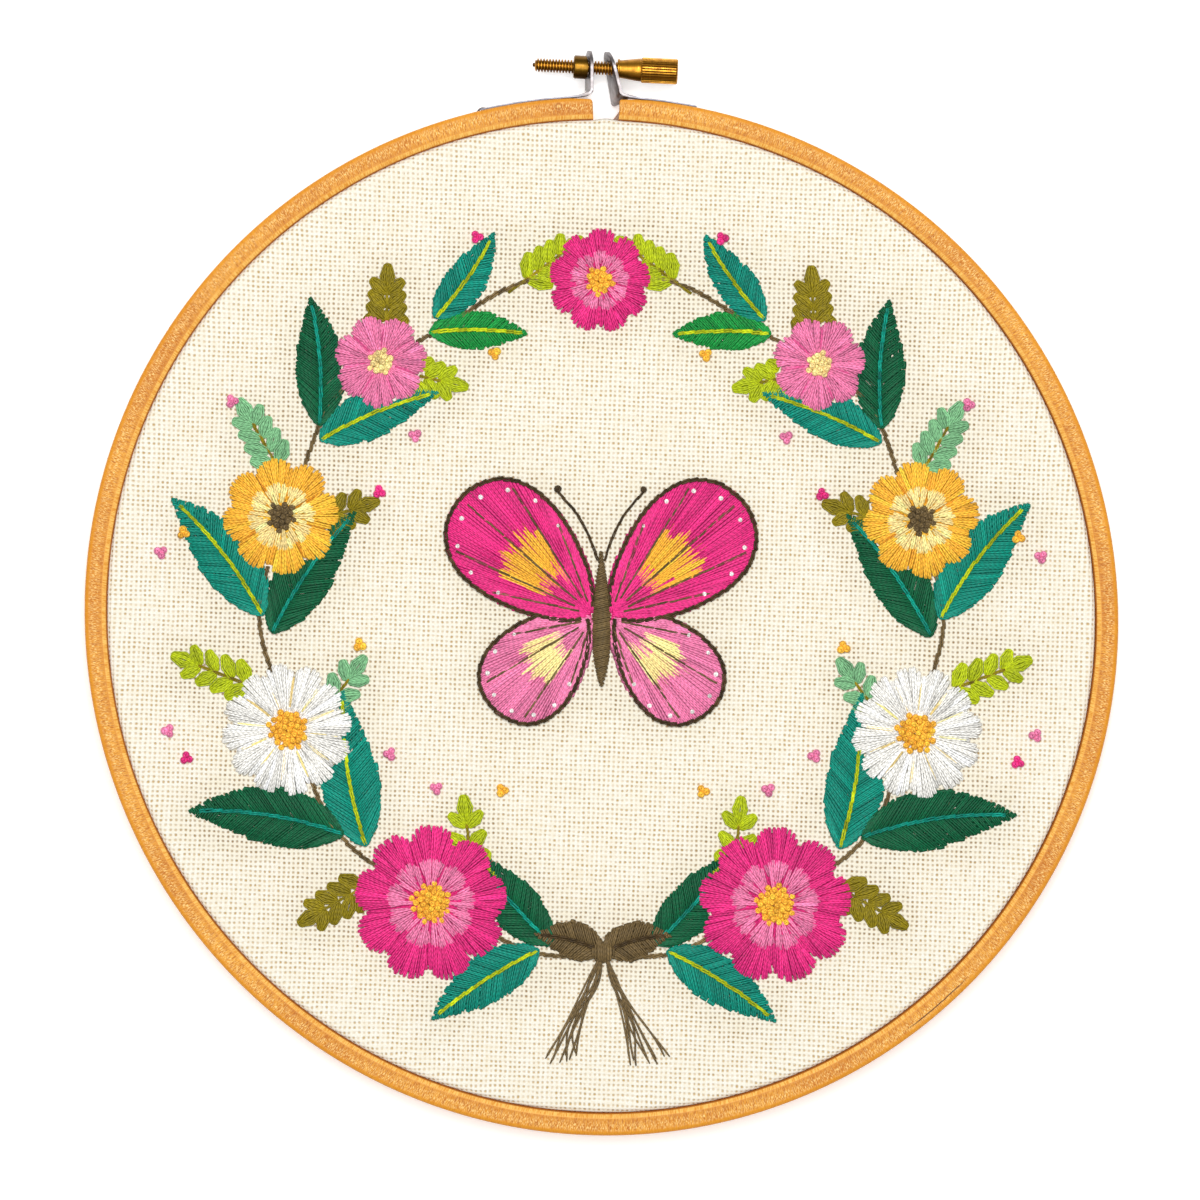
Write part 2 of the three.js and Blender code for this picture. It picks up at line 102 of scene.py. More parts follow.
def make_piece(name, points, *face_sets):
    """A smooth-shaded mesh from millimetre points about the hoop's middle."""
    mesh = bpy.data.meshes.new(name)
    mesh.vertices.add(len(points))
    mesh.vertices.foreach_set("co", (points * MM + HOOP_MIDDLE).astype(np.float32).ravel())
    sizes = np.concatenate([np.full(len(faces), faces.shape[1]) for faces in face_sets])
    corners = np.concatenate([faces.ravel() for faces in face_sets])
    mesh.loops.add(len(corners))
    mesh.loops.foreach_set("vertex_index", corners.astype(np.int32))
    mesh.polygons.add(len(sizes))
    starts = np.concatenate([[0], np.cumsum(sizes)[:-1]])
    mesh.polygons.foreach_set("loop_start", starts.astype(np.int32))
    mesh.polygons.foreach_set("use_smooth", np.ones(len(sizes), dtype=bool))
    mesh.update(calc_edges=True)
    mesh.validate()
    piece = bpy.data.objects.new(name, mesh)
    bpy.context.scene.collection.objects.link(piece)
    return piece


def give(piece, name, values):
    """Keeps a number or a vector for each point of the mesh, for its finish to read."""
    values = np.asarray(values, dtype=np.float32)
    kind, field = ("FLOAT", "value") if values.ndim == 1 else ("FLOAT_VECTOR", "vector")
    layer = piece.data.attributes.new(name, kind, "POINT")
    layer.data.foreach_set(field, values.ravel())


def grid_faces(rows, across, closed_rows=False):
    """Four-sided faces over rows of points, each row a ring of as many points."""
    steps = np.arange(rows if closed_rows else rows - 1)
    i, j = (part.ravel() for part in np.meshgrid(steps, np.arange(across), indexing="ij"))
    up, side = (i + 1) % rows, (j + 1) % across
    low, high = i * across, up * across
    return side_by_side(low + j, low + side, high + side, high + j)


def capped_faces(rows, across, start=0, hubs=None, turned=False):
    """The faces of a grid, and a fan at each end to one of two more points, its hubs."""
    hubs = start + rows * across if hubs is None else hubs
    ring = np.arange(across) + start
    following = np.roll(ring, -1)
    last = (rows - 1) * across
    faces = [
        grid_faces(rows, across) + start,
        side_by_side(following, ring, hubs),
        side_by_side(ring + last, following + last, hubs + 1),
    ]
    return [part[:, ::-1] for part in faces] if turned else faces


def rounded(radius, height, size, start, steps):
    """A quarter circle of a section, from an angle onwards."""
    turn = np.radians(start + 90 * np.arange(steps + 1) / steps)
    return [(radius + size * math.cos(a), height + size * math.sin(a)) for a in turn]


def outer_section():
    """Radius and height round the strip, up its outer side and down the inner one."""
    points = [(RIM_INSIDE + across, up) for across, up in BACK_PROFILE]
    points += rounded(RIM - RIM_ROUND, RIM_ROUND, RIM_ROUND, 270, 6)
    points += [(RIM, up) for up in OUTER_SIDE]
    points += rounded(RIM - RIM_ROUND, OUTER_DEPTH - RIM_ROUND, RIM_ROUND, 0, 8)
    points += [(RIM_INSIDE + across, up) for across, up in BEVEL_PROFILE]
    return np.array(points)


def set_back(along, size):
    """How far a rounded edge still stands back, this far along from it."""
    return size * (1 - math.sqrt(1 - (1 - min(along / size, 1)) ** 2))


def closed_in(radius, height, along, corner):
    """The section near an end, where it closes in and so rounds the sawn edges."""
    ease = set_back(along, END_EASE)
    dip = END_DIP["depth"] * math.exp(-((along / END_DIP["reach"]) ** 2))
    outer = RIM - (ease + set_back(along, corner)) - dip
    return np.clip(radius, RIM_INSIDE + ease, outer), np.clip(height, ease, OUTER_DEPTH - ease)


def outer_hoop_piece():
    radius, height = outer_section().T
    share = np.clip((radius - RIM_INSIDE) / (RIM - RIM_INSIDE), 0, 1)
    left, front, back = (
        inner + (outer - inner) * share
        for inner, outer in (SPLIT_LEFT["edge"], SPLIT_RIGHT["front"], SPLIT_RIGHT["back"])
    )
    right = back + (front - back) * height / OUTER_DEPTH
    rows = []
    for along in END_STEPS:
        r, h = closed_in(radius, height, along, SPLIT_LEFT["corner"])
        rows.append((r, np.arccos(np.clip((left - along) / r, -1, 1)), h))
    rows += [(radius, np.full(len(radius), turn), height) for turn in BODY_TURNS]
    for along in END_STEPS[::-1]:
        r, h = closed_in(radius, height, along, SPLIT_RIGHT["corner"])
        rows.append((r, np.arccos(np.clip((right + along) / r, -1, 1)) + math.tau, h))
    r, turn, h = np.array(rows).transpose(1, 0, 2)
    count, across = turn.shape
    grid = about_middle(r, turn, h)
    points = out_of_round(np.concatenate([grid.reshape(-1, 3), grid[[0, -1]].mean(axis=1)]))
    piece = make_piece("outer_hoop_wood", points, *capped_faces(count, across, turned=True))

    length = turn * GRAIN_RADIUS
    grain = side_by_side(length, radius - RIM_INSIDE, height).reshape(-1, 3)
    hub_grain = [[length[end].mean(), *STRIP_MIDDLE] for end in (0, -1)]
    give(piece, "grain", np.concatenate([grain, hub_grain]))
    zones = {
        "front": (height > 9.4) & (radius > RIM_INSIDE + 1.5),
        "bevel": (height > 9.5) & (radius < RIM_INSIDE + 1.4),
        "shaded_lip": (height > 7) & (radius < RIM_INSIDE + 0.55),
    }
    for zone, here in zones.items():
        give(piece, zone, np.concatenate([np.tile(here, count), [0, 0]]))
    sawn = np.zeros((count, across))
    sawn[[0, -1]] = 1
    give(piece, "sawn", np.concatenate([sawn.ravel(), [1, 1]]))
    return piece


def linear(red, green, blue):
    """A colour as it is seen on a screen, 0 to 255, as the light that a finish works in."""
    shares = (red / 255, green / 255, blue / 255)
    light = (s / 12.92 if s <= 0.04045 else ((s + 0.055) / 1.055) ** 2.4 for s in shares)
    return (*light, 1.0)


def add_node(tree, kind, sockets, output=0, **settings):
    """Adds a node to a finish and hands on what comes out of it."""
    node = tree.nodes.new("ShaderNode" + kind)
    for name, value in settings.items():
        setattr(node, name, value)
    for name, value in sockets.items():
        if isinstance(value, Amount):
            tree.links.new(value.socket, node.inputs[name])
        else:
            node.inputs[name].default_value = value
    return Amount(tree, node.outputs[output])


class Amount:
    """A number, vector or colour that varies over a surface. It takes plain arithmetic."""

    def __init__(self, tree, socket):
        self.tree, self.socket = tree, socket

    def reckon(self, operation, *others, kind="Math", output=0):
        sockets = dict(enumerate((self, *others)))
        return add_node(self.tree, kind, sockets, output, operation=operation)

    def __add__(self, other):
        return self.reckon("ADD", other)

    def __sub__(self, other):
        return self.reckon("SUBTRACT", other)

    def __rsub__(self, other):
        return add_node(self.tree, "Math", {0: other, 1: self}, operation="SUBTRACT")

    def __mul__(self, other):
        return self.reckon("MULTIPLY", other)

    def __abs__(self):
        return self.reckon("ABSOLUTE")

    def spread(self, low, high, to_low=0.0, to_high=1.0):
        """Its range from low to high drawn out to another one, and cut off there."""
        sockets = dict(enumerate((self, low, high, to_low, to_high)))
        return add_node(self.tree, "MapRange", sockets, clamp=True)

    def blend(self, first, second):
        """One colour into another by this share of 0 to 1. Plain ones are a screen's."""
        first, second = (c if isinstance(c, Amount) else linear(*c) for c in (first, second))
        sockets = {0: self, 6: first, 7: second}
        return add_node(self.tree, "Mix", sockets, 2, data_type="RGBA")

    def parts(self):
        split = add_node(self.tree, "SeparateXYZ", {"Vector": self})
        return [Amount(self.tree, socket) for socket in split.socket.node.outputs]

    def scaled(self, x, y, z):
        return add_node(self.tree, "Mapping", {"Vector": self, "Scale": (x, y, z)})

    def noise(self, scale=1.0, detail=2.0, rough=0.5, output=0):
        sockets = {"Vector": self, "Scale": scale, "Detail": detail, "Roughness": rough}
        return add_node(self.tree, "TexNoise", sockets, output)


class Finish:
    """The look of a piece: the shader's constant values, and what varies over the piece."""

    def __init__(self, name, **values):
        self.material = bpy.data.materials.new(name)
        self.material.use_nodes = True
        self.tree = self.material.node_tree
        self.sockets = self.tree.nodes["Principled BSDF"].inputs
        for socket, value in values.items():
            self.sockets[socket.replace("_", " ")].default_value = value

    def kept(self, name, output="Fac"):
        """What give() keeps for each point."""
        return add_node(self.tree, "Attribute", {}, output, attribute_name=name)

    def vary(self, **amounts):
        for socket, amount in amounts.items():
            self.tree.links.new(amount.socket, self.sockets[socket.replace("_", " ")])

    def emboss(self, height, strength, distance):
        sockets = {"Height": height, "Strength": strength, "Distance": distance}
        self.vary(Normal=add_node(self.tree, "Bump", sockets))


def beech_finish():
    finish = Finish(
        "lacquered_beech", Roughness=0.5, Coat_Weight=0.03, Coat_Roughness=0.3,
        Specular_IOR_Level=0.16,
    )
    grain = finish.kept("grain", "Vector")
    along, across, up = grain.parts()
    slanted = {"X": across * 0.1 + along, "Y": across * 0.12, "Z": up * 0.12}
    flecks_at = add_node(finish.tree, "CombineXYZ", slanted)
    rays = flecks_at.noise(5.6, 2.0, 0.55)
    fine_rays = flecks_at.scaled(1.0, 1.8, 1.0).noise(7.4, 1.0, 0.5)
    mid_band = abs(across - 3.2).spread(0.4, 1.3, 0.95, 0.3)
    mottle = grain.noise(0.8, 2.0, 0.55)
    long_grain = grain.scaled(0.022, 1.1, 1.1).noise(2.2, 4.0, 0.6)
    patches = grain.scaled(0.045, 0.1, 0.1).noise(1.0, 2.0, 0.5)
    pores = grain.scaled(0.55, 7.0, 7.0).noise(1.0, 1.0, 0.5)

    warm = patches.spread(0.3, 0.7).blend((201, 124, 18), (229, 160, 44))
    face = rays.spread(0.38, 0.56, 0.15).blend((172, 92, 14), warm)
    face = mottle.spread(0.42, 0.66, 0.0, 0.25).blend(face, (198, 114, 28))
    face = (fine_rays.spread(0.5, 0.64) * mid_band).blend(face, (248, 206, 126))
    face = across.spread(3.8, 4.4, 0.0, 0.65).blend(face, (224, 148, 42))
    side = long_grain.spread(0.35, 0.68).blend((200, 122, 40), (232, 168, 76))
    side = (pores.spread(0.66, 0.78) * 0.5).blend(side, (146, 88, 36))
    colour = finish.kept("front").blend(side, face)
    # painted highlight: the bevel is painted paler than the face, with the rays still showing in it
    pale = rays.spread(0.38, 0.60).blend((216, 142, 48), (243, 192, 102))
    colour = finish.kept("bevel").blend(colour, pale)
    # painted shade: the lip just inside the bevel is painted dark brown for the shade in the
    # crevice between the ring and the cloth
    colour = finish.kept("shaded_lip").blend(colour, (176, 104, 34))

    from_knot = grain.reckon("DISTANCE", KNOT_PLACE, kind="VectorMath", output="Value")
    knot_ring = abs(from_knot - KNOT_SIZE).spread(0.05, 0.3, 0.5, 0.0)
    colour = knot_ring.blend(colour, (150, 82, 22))
    wander = grain.scaled(0.3, 0.0, 0.0).noise(1.0, 3.0, 0.6)
    from_crack = abs(across - ((wander - 0.5) * 0.7 + CRACK["across"]))
    in_crack = from_crack.spread(CRACK["half_width"] * 0.3, CRACK["half_width"], 1.0, 0.0)
    from_middle = abs(along - CRACK["middle"])
    its_length = from_middle.spread(CRACK["half_length"] * 0.55, CRACK["half_length"], 1.0, 0.0)
    cracked = in_crack * its_length * finish.kept("front")
    colour = cracked.blend(colour, (84, 38, 10))
    end_rings = grain.scaled(0.6, 2.4, 2.4).noise(1.6, 3.0, 0.6)
    sawn = end_rings.spread(0.35, 0.65).blend((160, 98, 52), (210, 148, 88))
    colour = finish.kept("sawn").blend(colour, sawn)
    finish.vary(Base_Color=colour, Roughness=rays.spread(0.3, 0.7, 0.52, 0.38))
    finish.emboss(rays + long_grain * 0.6, 0.35, 0.0001)
    return finish.material


def dress(piece, finish, body="hoop", replaced=()):
    """Gives a piece its finish, the record's material slot and the body it moves with."""
    piece.data.materials.clear()
    piece.data.materials.append(finish)
    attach(piece, body)
    if replaced:
        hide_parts(*replaced)


dress(outer_hoop_piece(), beech_finish(), replaced=["outer_hoop"])

# ---- Inner hoop ----
# A closed beech ring that stands inside the cloth, a little lower than the outer one, with its
# front outer edge rounded so that the cloth draws over it. It is sanded but not lacquered.

INNER_RADIUS = 101.6
INNER_WIDTH = 4.5
INNER_FRONT = 8.4
SHOULDER = 2.0
EDGE_EASE = 0.5
INNER_TURNS = np.linspace(0, math.tau, 540, endpoint=False)
INNER_GRAIN_RADIUS = 100


def inner_hoop_piece():
    inside = INNER_RADIUS - INNER_WIDTH
    section = [(inside + EDGE_EASE, 0.0), (inside + 2.2, 0.0)]
    section += rounded(INNER_RADIUS - EDGE_EASE, EDGE_EASE, EDGE_EASE, 270, 4)
    section += [(INNER_RADIUS, 3.4)]
    section += rounded(INNER_RADIUS - SHOULDER, INNER_FRONT - SHOULDER, SHOULDER, 0, 8)
    section += [(inside + 1.4, INNER_FRONT)]
    section += rounded(inside + EDGE_EASE, INNER_FRONT - EDGE_EASE, EDGE_EASE, 90, 4)
    section += [(inside, 4.2)]
    section += rounded(inside + EDGE_EASE, EDGE_EASE, EDGE_EASE, 180, 4)[:-1]
    radius, height = np.array(section).T
    turns = INNER_TURNS[:, None]
    points = out_of_round(about_middle(radius, turns, height).reshape(-1, 3))
    faces = grid_faces(len(turns), len(section), closed_rows=True)[:, ::-1]
    piece = make_piece("inner_hoop_wood", points, faces)
    grain = side_by_side(turns * INNER_GRAIN_RADIUS, radius - inside, height)
    give(piece, "grain", grain.reshape(-1, 3))
    return piece


def sanded_beech_finish():
    finish = Finish("sanded_beech", Roughness=0.62)
    grain = finish.kept("grain", "Vector")
    fibres = grain.scaled(0.03, 1.3, 1.3).noise(2.0, 4.0, 0.6)
    pores = grain.scaled(0.5, 7.0, 7.0).noise(1.0, 1.0, 0.5)
    colour = fibres.spread(0.34, 0.68).blend((202, 146, 86), (232, 188, 130))
    colour = (pores.spread(0.64, 0.78) * 0.5).blend(colour, (140, 92, 48))
    finish.vary(Base_Color=colour)
    finish.emboss(fibres - pores, 0.3, 0.0001)
    return finish.material


dress(inner_hoop_piece(), sanded_beech_finish(), replaced=["inner_hoop"])

# ---- Cloth ----
# A disc of cream evenweave, about ten double threads to the centimetre with an open hole at
# each crossing, stretched over the inner hoop and trimmed just short of its back. It swells a
# little into the split of the outer hoop. Each hole is a tan spot of painted shade. Near close
# stitching the holes and the cream are painted darker, partly for the holes drawn open there
# and partly as painted shade from the raised threads.

CLOTH = 0.7
CLOTH_FRONT = 9.7
CLOTH_OUTSIDE = 103.05
CLOTH_TURN = 1.3
CLOTH_FACE = np.concatenate([np.linspace(2, 94, 24), [98.0, 101.0]])
CLOTH_HEM = 0.9
CLOTH_SIDE = np.array([5.0, 3.4, 1.8, CLOTH_HEM + 0.1])
HEM_ROUND = {"in": 0.18, "drop": 0.05, "reach": 0.2}
CLOTH_TURNS = np.concatenate([np.arange(0, 360, 1.0), np.arange(86.0, 92.2, 0.2)])
SWELLING = {"x": 1.5, "reach": 2.1, "rise": 0.45}
SWELL_RADIUS = 103
LEANING = {"rise": 0.08, "towards": math.radians(150)}
GRIP = {"front": 8.1, "height": 0.7, "reach": 2.6, "width": 1.3, "rise": 0.4}
HOLE_PITCH = 0.99
WEAVE_TURN = math.radians(-2)


def cloth_skin(inwards):
    """Radius and height of a skin of the cloth from near its middle to its hem."""
    bend = np.radians(90 - np.arange(0, 91, 9))
    size = CLOTH_TURN - inwards
    radius = np.concatenate([
        CLOTH_FACE, CLOTH_OUTSIDE - CLOTH_TURN + size * np.cos(bend),
        np.full(len(CLOTH_SIDE), CLOTH_OUTSIDE - inwards),
    ])
    height = np.concatenate([
        np.full(len(CLOTH_FACE), CLOTH_FRONT - inwards),
        CLOTH_FRONT - CLOTH_TURN + size * np.sin(bend), CLOTH_SIDE,
    ])
    return radius, height


def stretched(radius, height, turns):
    """The cloth's points, pushed out where the split and the hoops' grip leave it free."""
    x, y, z = np.moveaxis(about_middle(radius, turns, height), -1, 0)
    on_wall = np.clip((radius - (CLOTH_OUTSIDE - CLOTH_TURN)) / CLOTH_TURN, 0, 1)
    free = np.exp(-(((x - SWELLING["x"]) / SWELLING["reach"]) ** 2)) * (y > 0)
    lean = LEANING["rise"] * np.cos(turns - LEANING["towards"])
    above_grip = np.clip((height - GRIP["front"]) / GRIP["height"], 0, 1)
    near_edge = np.clip((radius - CLOTH_OUTSIDE + GRIP["reach"]) / GRIP["width"], 0, 1)
    rise = on_wall * (SWELLING["rise"] * free + lean * (1 - free))
    grow = 1 + (rise + GRIP["rise"] * above_grip * near_edge) / SWELL_RADIUS
    return side_by_side(x * grow, y * grow, z)


def cloth_piece():
    turns = np.unique(np.round(np.radians(CLOTH_TURNS), 6))
    outer_r, outer_z = cloth_skin(0)
    inner_r, inner_z = cloth_skin(CLOTH)
    hem_r = [CLOTH_OUTSIDE - HEM_ROUND["in"], CLOTH_OUTSIDE - CLOTH + HEM_ROUND["in"]]
    radius = np.concatenate([outer_r, hem_r, inner_r[::-1]])
    height = np.concatenate([outer_z, [CLOTH_HEM - HEM_ROUND["drop"]] * 2, inner_z[::-1]])
    unfolded = np.cumsum([outer_r[0], *np.hypot(np.diff(outer_r), np.diff(outer_z))])
    hem_reach = [unfolded[-1] + HEM_ROUND["reach"]] * 2
    reach = np.concatenate([unfolded, hem_reach, unfolded[::-1]])[:, None]
    grid = stretched(radius[:, None], height[:, None], turns)
    hubs = [[0, 0, CLOTH_FRONT], [0, 0, CLOTH_FRONT - CLOTH]]
    points = out_of_round(np.concatenate([grid.reshape(-1, 3), hubs]))
    faces = capped_faces(len(radius), len(turns), turned=True)
    piece = make_piece("evenweave_cloth", points, *faces)
    flat = side_by_side(reach * np.cos(turns), reach * np.sin(turns)).reshape(-1, 2)
    u, v = np.concatenate([flat, np.zeros((2, 2))]).T / HOLE_PITCH
    c, s = math.cos(WEAVE_TURN), math.sin(WEAVE_TURN)
    give(piece, "threads", side_by_side(c * u + s * v, c * v - s * u, 0.0))
    return piece


def evenweave_finish():
    finish = Finish(
        "cream_evenweave", Roughness=0.88, Sheen_Weight=0.18, Sheen_Roughness=0.5,
        Specular_IOR_Level=0.2,
    )
    threads = finish.kept("threads", "Vector")
    strain_and_shade = finish.kept("strain_and_shade")
    wobble = threads.scaled(0.35, 0.35, 0.35).noise(1.0, 2.0, 0.5, output=1)
    wobble = wobble.reckon("SUBTRACT", (0.5, 0.5, 0.5), kind="VectorMath")
    wobble = add_node(finish.tree, "VectorMath", {0: wobble, "Scale": 0.5}, operation="SCALE")
    place = threads.reckon("ADD", wobble, kind="VectorMath")
    x, y, _ = place.parts()
    warp, weft = ((way * math.tau).reckon("COSINE") * 0.5 + 0.5 for way in (x, y))
    hole = (1.0 - warp) * (1.0 - weft)
    cell = place.reckon("FLOOR", kind="VectorMath")
    chance = add_node(finish.tree, "TexWhiteNoise", {"Vector": cell}, noise_dimensions="3D")
    # how dark each hole's painted shade is: at random from hole to hole, and more near close
    # stitching
    depth = strain_and_shade * 0.12 + chance.spread(0.0, 1.0, 0.35, 0.95)
    hole = hole.spread(0.24, 0.92) * depth
    over = abs((x * math.pi).reckon("COSINE") * (y * math.pi).reckon("COSINE"))
    fuzz = threads.scaled(3.2, 3.2, 3.2).noise(1.0, 3.0, 0.65)
    slubs = threads.scaled(0.12, 1.6, 1.0).noise(1.0, 2.0, 0.5)
    slubs_across = threads.scaled(1.6, 0.12, 1.0).noise(1.0, 2.0, 0.5)
    uneven = (slubs + slubs_across) * 0.5
    cream = fuzz.spread(0.3, 0.7).blend((233, 227, 205), (243, 241, 237))
    cream = uneven.spread(0.4, 0.62, 0.0, 0.5).blend(cream, (230, 219, 191))
    # painted shade: near close stitching the cream is painted darker, as the shade of the raised
    # threads
    cream = (strain_and_shade * 0.35).blend(cream, (226, 216, 188))
    # painted shade: the holes are painted tan for the shade in them, and a deeper brown near close
    # stitching
    gap = strain_and_shade.blend((191, 145, 44), (146, 104, 42))
    finish.vary(Base_Color=(hole * 0.9).blend(cream, gap))
    finish.emboss(fuzz * 0.4 + (over * 0.35 + (1.0 - hole)), 0.8, 0.00025)
    return finish.material


cloth = cloth_piece()
dress(cloth, evenweave_finish(), replaced=["cloth"])

# ---- Brackets ----
# Two strips of plated steel, each held on the rim by a small prong, bent up at the end of the
# wood into a lug with a round eye for the screw. Use has twisted the lugs a little.

EDGE_ROUND = 0.09
FEET = {"left_bracket": (-3.4, -1), "right_bracket": (5.2, 1)}
FOOT = {"length": 2.6, "over_wood": 0.04, "gap": 0.3, "thinned": 0.5}


def with_soft_edges(name, node, width, sharp_from=32):
    """A copy of a hard piece with its sharp edges broken, as tumbling leaves them."""
    piece = node.copy()
    piece.data = node.data.copy()
    piece.name = piece.data.name = name
    bpy.context.scene.collection.objects.link(piece)
    work = bmesh.new()
    work.from_mesh(piece.data)
    bmesh.ops.remove_doubles(work, verts=work.verts, dist=2e-6)
    flat = math.radians(0.6)
    bmesh.ops.dissolve_limit(work, angle_limit=flat, verts=work.verts, edges=work.edges)
    sharp = [
        edge for edge in work.edges
        if edge.is_manifold and edge.calc_face_angle() > math.radians(sharp_from)
    ]
    bmesh.ops.bevel(
        work, geom=sharp, offset=width * MM, segments=2, profile=0.6, affect="EDGES",
        clamp_overlap=True,
    )
    bmesh.ops.triangulate(work, faces=[face for face in work.faces if len(face.verts) > 4])
    for face in work.faces:
        face.smooth = True
    work.to_mesh(piece.data)
    work.free()
    piece.data.set_sharp_from_angle(angle=math.radians(40))
    return piece


def points_of(piece):
    """The points of a piece in millimetres about the hoop's middle."""
    flat = np.empty(len(piece.data.vertices) * 3, dtype=np.float32)
    piece.data.vertices.foreach_get("co", flat)
    return (flat.reshape(-1, 3) - HOOP_MIDDLE) / MM


def press_foot(piece, start, hand):
    """Past start the strip is hammered thin and lies on the wood, where it is painted darker as
    shade.
    """
    points = points_of(piece)
    pressed_and_shaded = np.clip((points[:, 0] - start) * hand / FOOT["length"], 0, 1)
    radius = np.hypot(points[:, 0], points[:, 1])
    rim = np.hypot(*out_of_round(points * (RIM / radius)[:, None])[:, :2].T)
    thinner = rim + FOOT["over_wood"] + (radius - rim - FOOT["gap"]) * FOOT["thinned"]
    points[:, :2] *= (1 + pressed_and_shaded * (thinner / radius - 1))[:, None]
    piece.data.vertices.foreach_set("co", (points * MM + HOOP_MIDDLE).astype(np.float32).ravel())
    piece.data.update()
    give(piece, "pressed_and_shaded", pressed_and_shaded)


def plated_steel_finish():
    finish = Finish("plated_steel", Metallic=1.0, Roughness=0.34)
    place = add_node(finish.tree, "TexCoord", {}, "Object")
    rolled = place.scaled(500, 500, 9000).noise(1.0, 3.0, 0.6)
    stains = place.noise(420.0, 3.0, 0.6)
    colour = stains.spread(0.42, 0.7).blend((142, 136, 137), (88, 80, 75))
    # painted shade: the foot and the prong are painted darker where they lie in against the wood
    colour = finish.kept("pressed_and_shaded").blend(colour, (112, 112, 120))
    finish.vary(Base_Color=colour, Roughness=rolled.spread(0.3, 0.7, 0.30, 0.5))
    finish.emboss(rolled, 0.25, 0.00003)
    return finish.material


steel = plated_steel_finish()
for node_name, (foot_start, hand) in FEET.items():
    strip = with_soft_edges(node_name + "_strip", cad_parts[node_name], EDGE_ROUND)
    press_foot(strip, foot_start, hand)
    dress(strip, steel, replaced=[node_name])

PRONG_TURNS = np.radians([102.5, 102.75, 103.0, 103.25, 103.5, 103.75])
PRONG_RISE = np.array([0.34, 0.56, 0.68, 0.62, 0.36, -0.1])
PRONG = {"thick": 0.36, "half_width": 1.6, "corner": 0.1, "height": 5.0, "pressed_and_shaded": 0.6}


def prong_piece():
    """The end of the left foot, humped and bent down into the wood."""
    thick, half, corner = PRONG["thick"], PRONG["half_width"], PRONG["corner"]
    up = np.array([corner, 0, 0, corner, thick - corner, thick, thick, thick - corner]) - thick
    across = np.array([
        -half, corner - half, half - corner, half, half, half - corner, corner - half, -half,
    ])
    radius = RIM + PRONG_RISE[:, None] + up
    grid = about_middle(radius, PRONG_TURNS[:, None], PRONG["height"] + across)
    rows, corners = radius.shape
    ring = np.arange(corners)
    caps = np.array([ring[::-1], ring + (rows - 1) * corners])
    points = out_of_round(grid.reshape(-1, 3))
    return make_piece("left_bracket_prong", points, grid_faces(rows, corners), caps)


prong = prong_piece()
give(prong, "pressed_and_shaded", np.full(len(prong.data.vertices), PRONG["pressed_and_shaded"]))
dress(prong, steel)

# ---- Nut ----
# A short brass cylinder threaded on the rod against the left lug, left as it came off the
# lathe, with fine rings round it.

NUT_EDGE = 0.12
ROD_WAY = (0.9988, -0.0488, 0.0)


def turned_brass_finish(name, bright, dark, rings, smooth, dull):
    finish = Finish(name, Metallic=1.0, Roughness=0.3, Coat_Weight=0.12, Coat_Roughness=0.2)
    place = add_node(finish.tree, "TexCoord", {}, "Object")
    along = place.reckon("DOT_PRODUCT", ROD_WAY, kind="VectorMath", output="Value")
    sockets = {"W": along, "Scale": rings, "Detail": 3.0, "Roughness": 0.7}
    lathe = add_node(finish.tree, "TexNoise", sockets, noise_dimensions="1D")
    tarnish = place.noise(650.0, 3.0, 0.6)
    colour = tarnish.spread(0.4, 0.68, 0.0, 0.6).blend(bright, dark)
    colour = lathe.spread(0.45, 0.7, 0.0, 0.4).blend(colour, dark)
    # painted shade: the thread's roots and the barrel's flutes are painted dark brown
    colour = finish.kept("hollow_shade").blend(colour, (64, 32, 6))
    finish.vary(Base_Color=colour, Roughness=tarnish.spread(0.35, 0.7, smooth, dull))
    finish.emboss(lathe, 0.18, 0.00004)
    return finish.material


nut = with_soft_edges("round_nut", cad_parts["nut"], NUT_EDGE)
dull_brass = turned_brass_finish("dull_brass", (124, 88, 20), (66, 43, 7), 5200.0, 0.32, 0.5)
dress(nut, dull_brass, replaced=["nut"])

# ---- Thumb screw ----
# One brass turning: a nib at the tip, a threaded rod, a thin collar, a taper, and a fluted
# barrel for the fingers. It turns in both eyes and draws the lugs together.

SCREW_MIDDLE = np.array([0.0, 114.65, 5.0])
SCREW_TILT = math.radians(-2.8)
SCREW_SIDES = 48
THREAD = {"tip": -13.9, "end": 3.35, "pitch": 0.635, "crest": 1.44, "root": 0.98, "steps": 14}
# place along the screw, and radius
NIB = [(-14.4, 0.22), (-14.38, 0.32), (-14.3, 0.4), (-13.98, 0.42), (-13.92, 0.8)]
COLLAR_AND_TAPER = [
    (3.35, 1.95), (3.39, 2.06), (3.45, 2.1), (3.7, 2.1), (3.76, 2.07), (3.8, 1.98), (3.81, 1.86),
    (4.6, 1.94), (6.0, 2.15), (7.4, 2.34), (8.15, 2.42), (8.4, 2.3), (8.4, 1.4),
]
BARREL = {"start": 8.3, "end": 15.98, "radius": 2.66, "depth": 0.26, "flutes": 30, "round": 0.38}
BARREL_SPOTS = (9.4, 11.0, 12.6, 14.2, 15.2)
# how much painted shade the thread's roots and the barrel's flutes get
SHADE_IN_THREAD = 0.36
SHADE_IN_FLUTE = 0.78


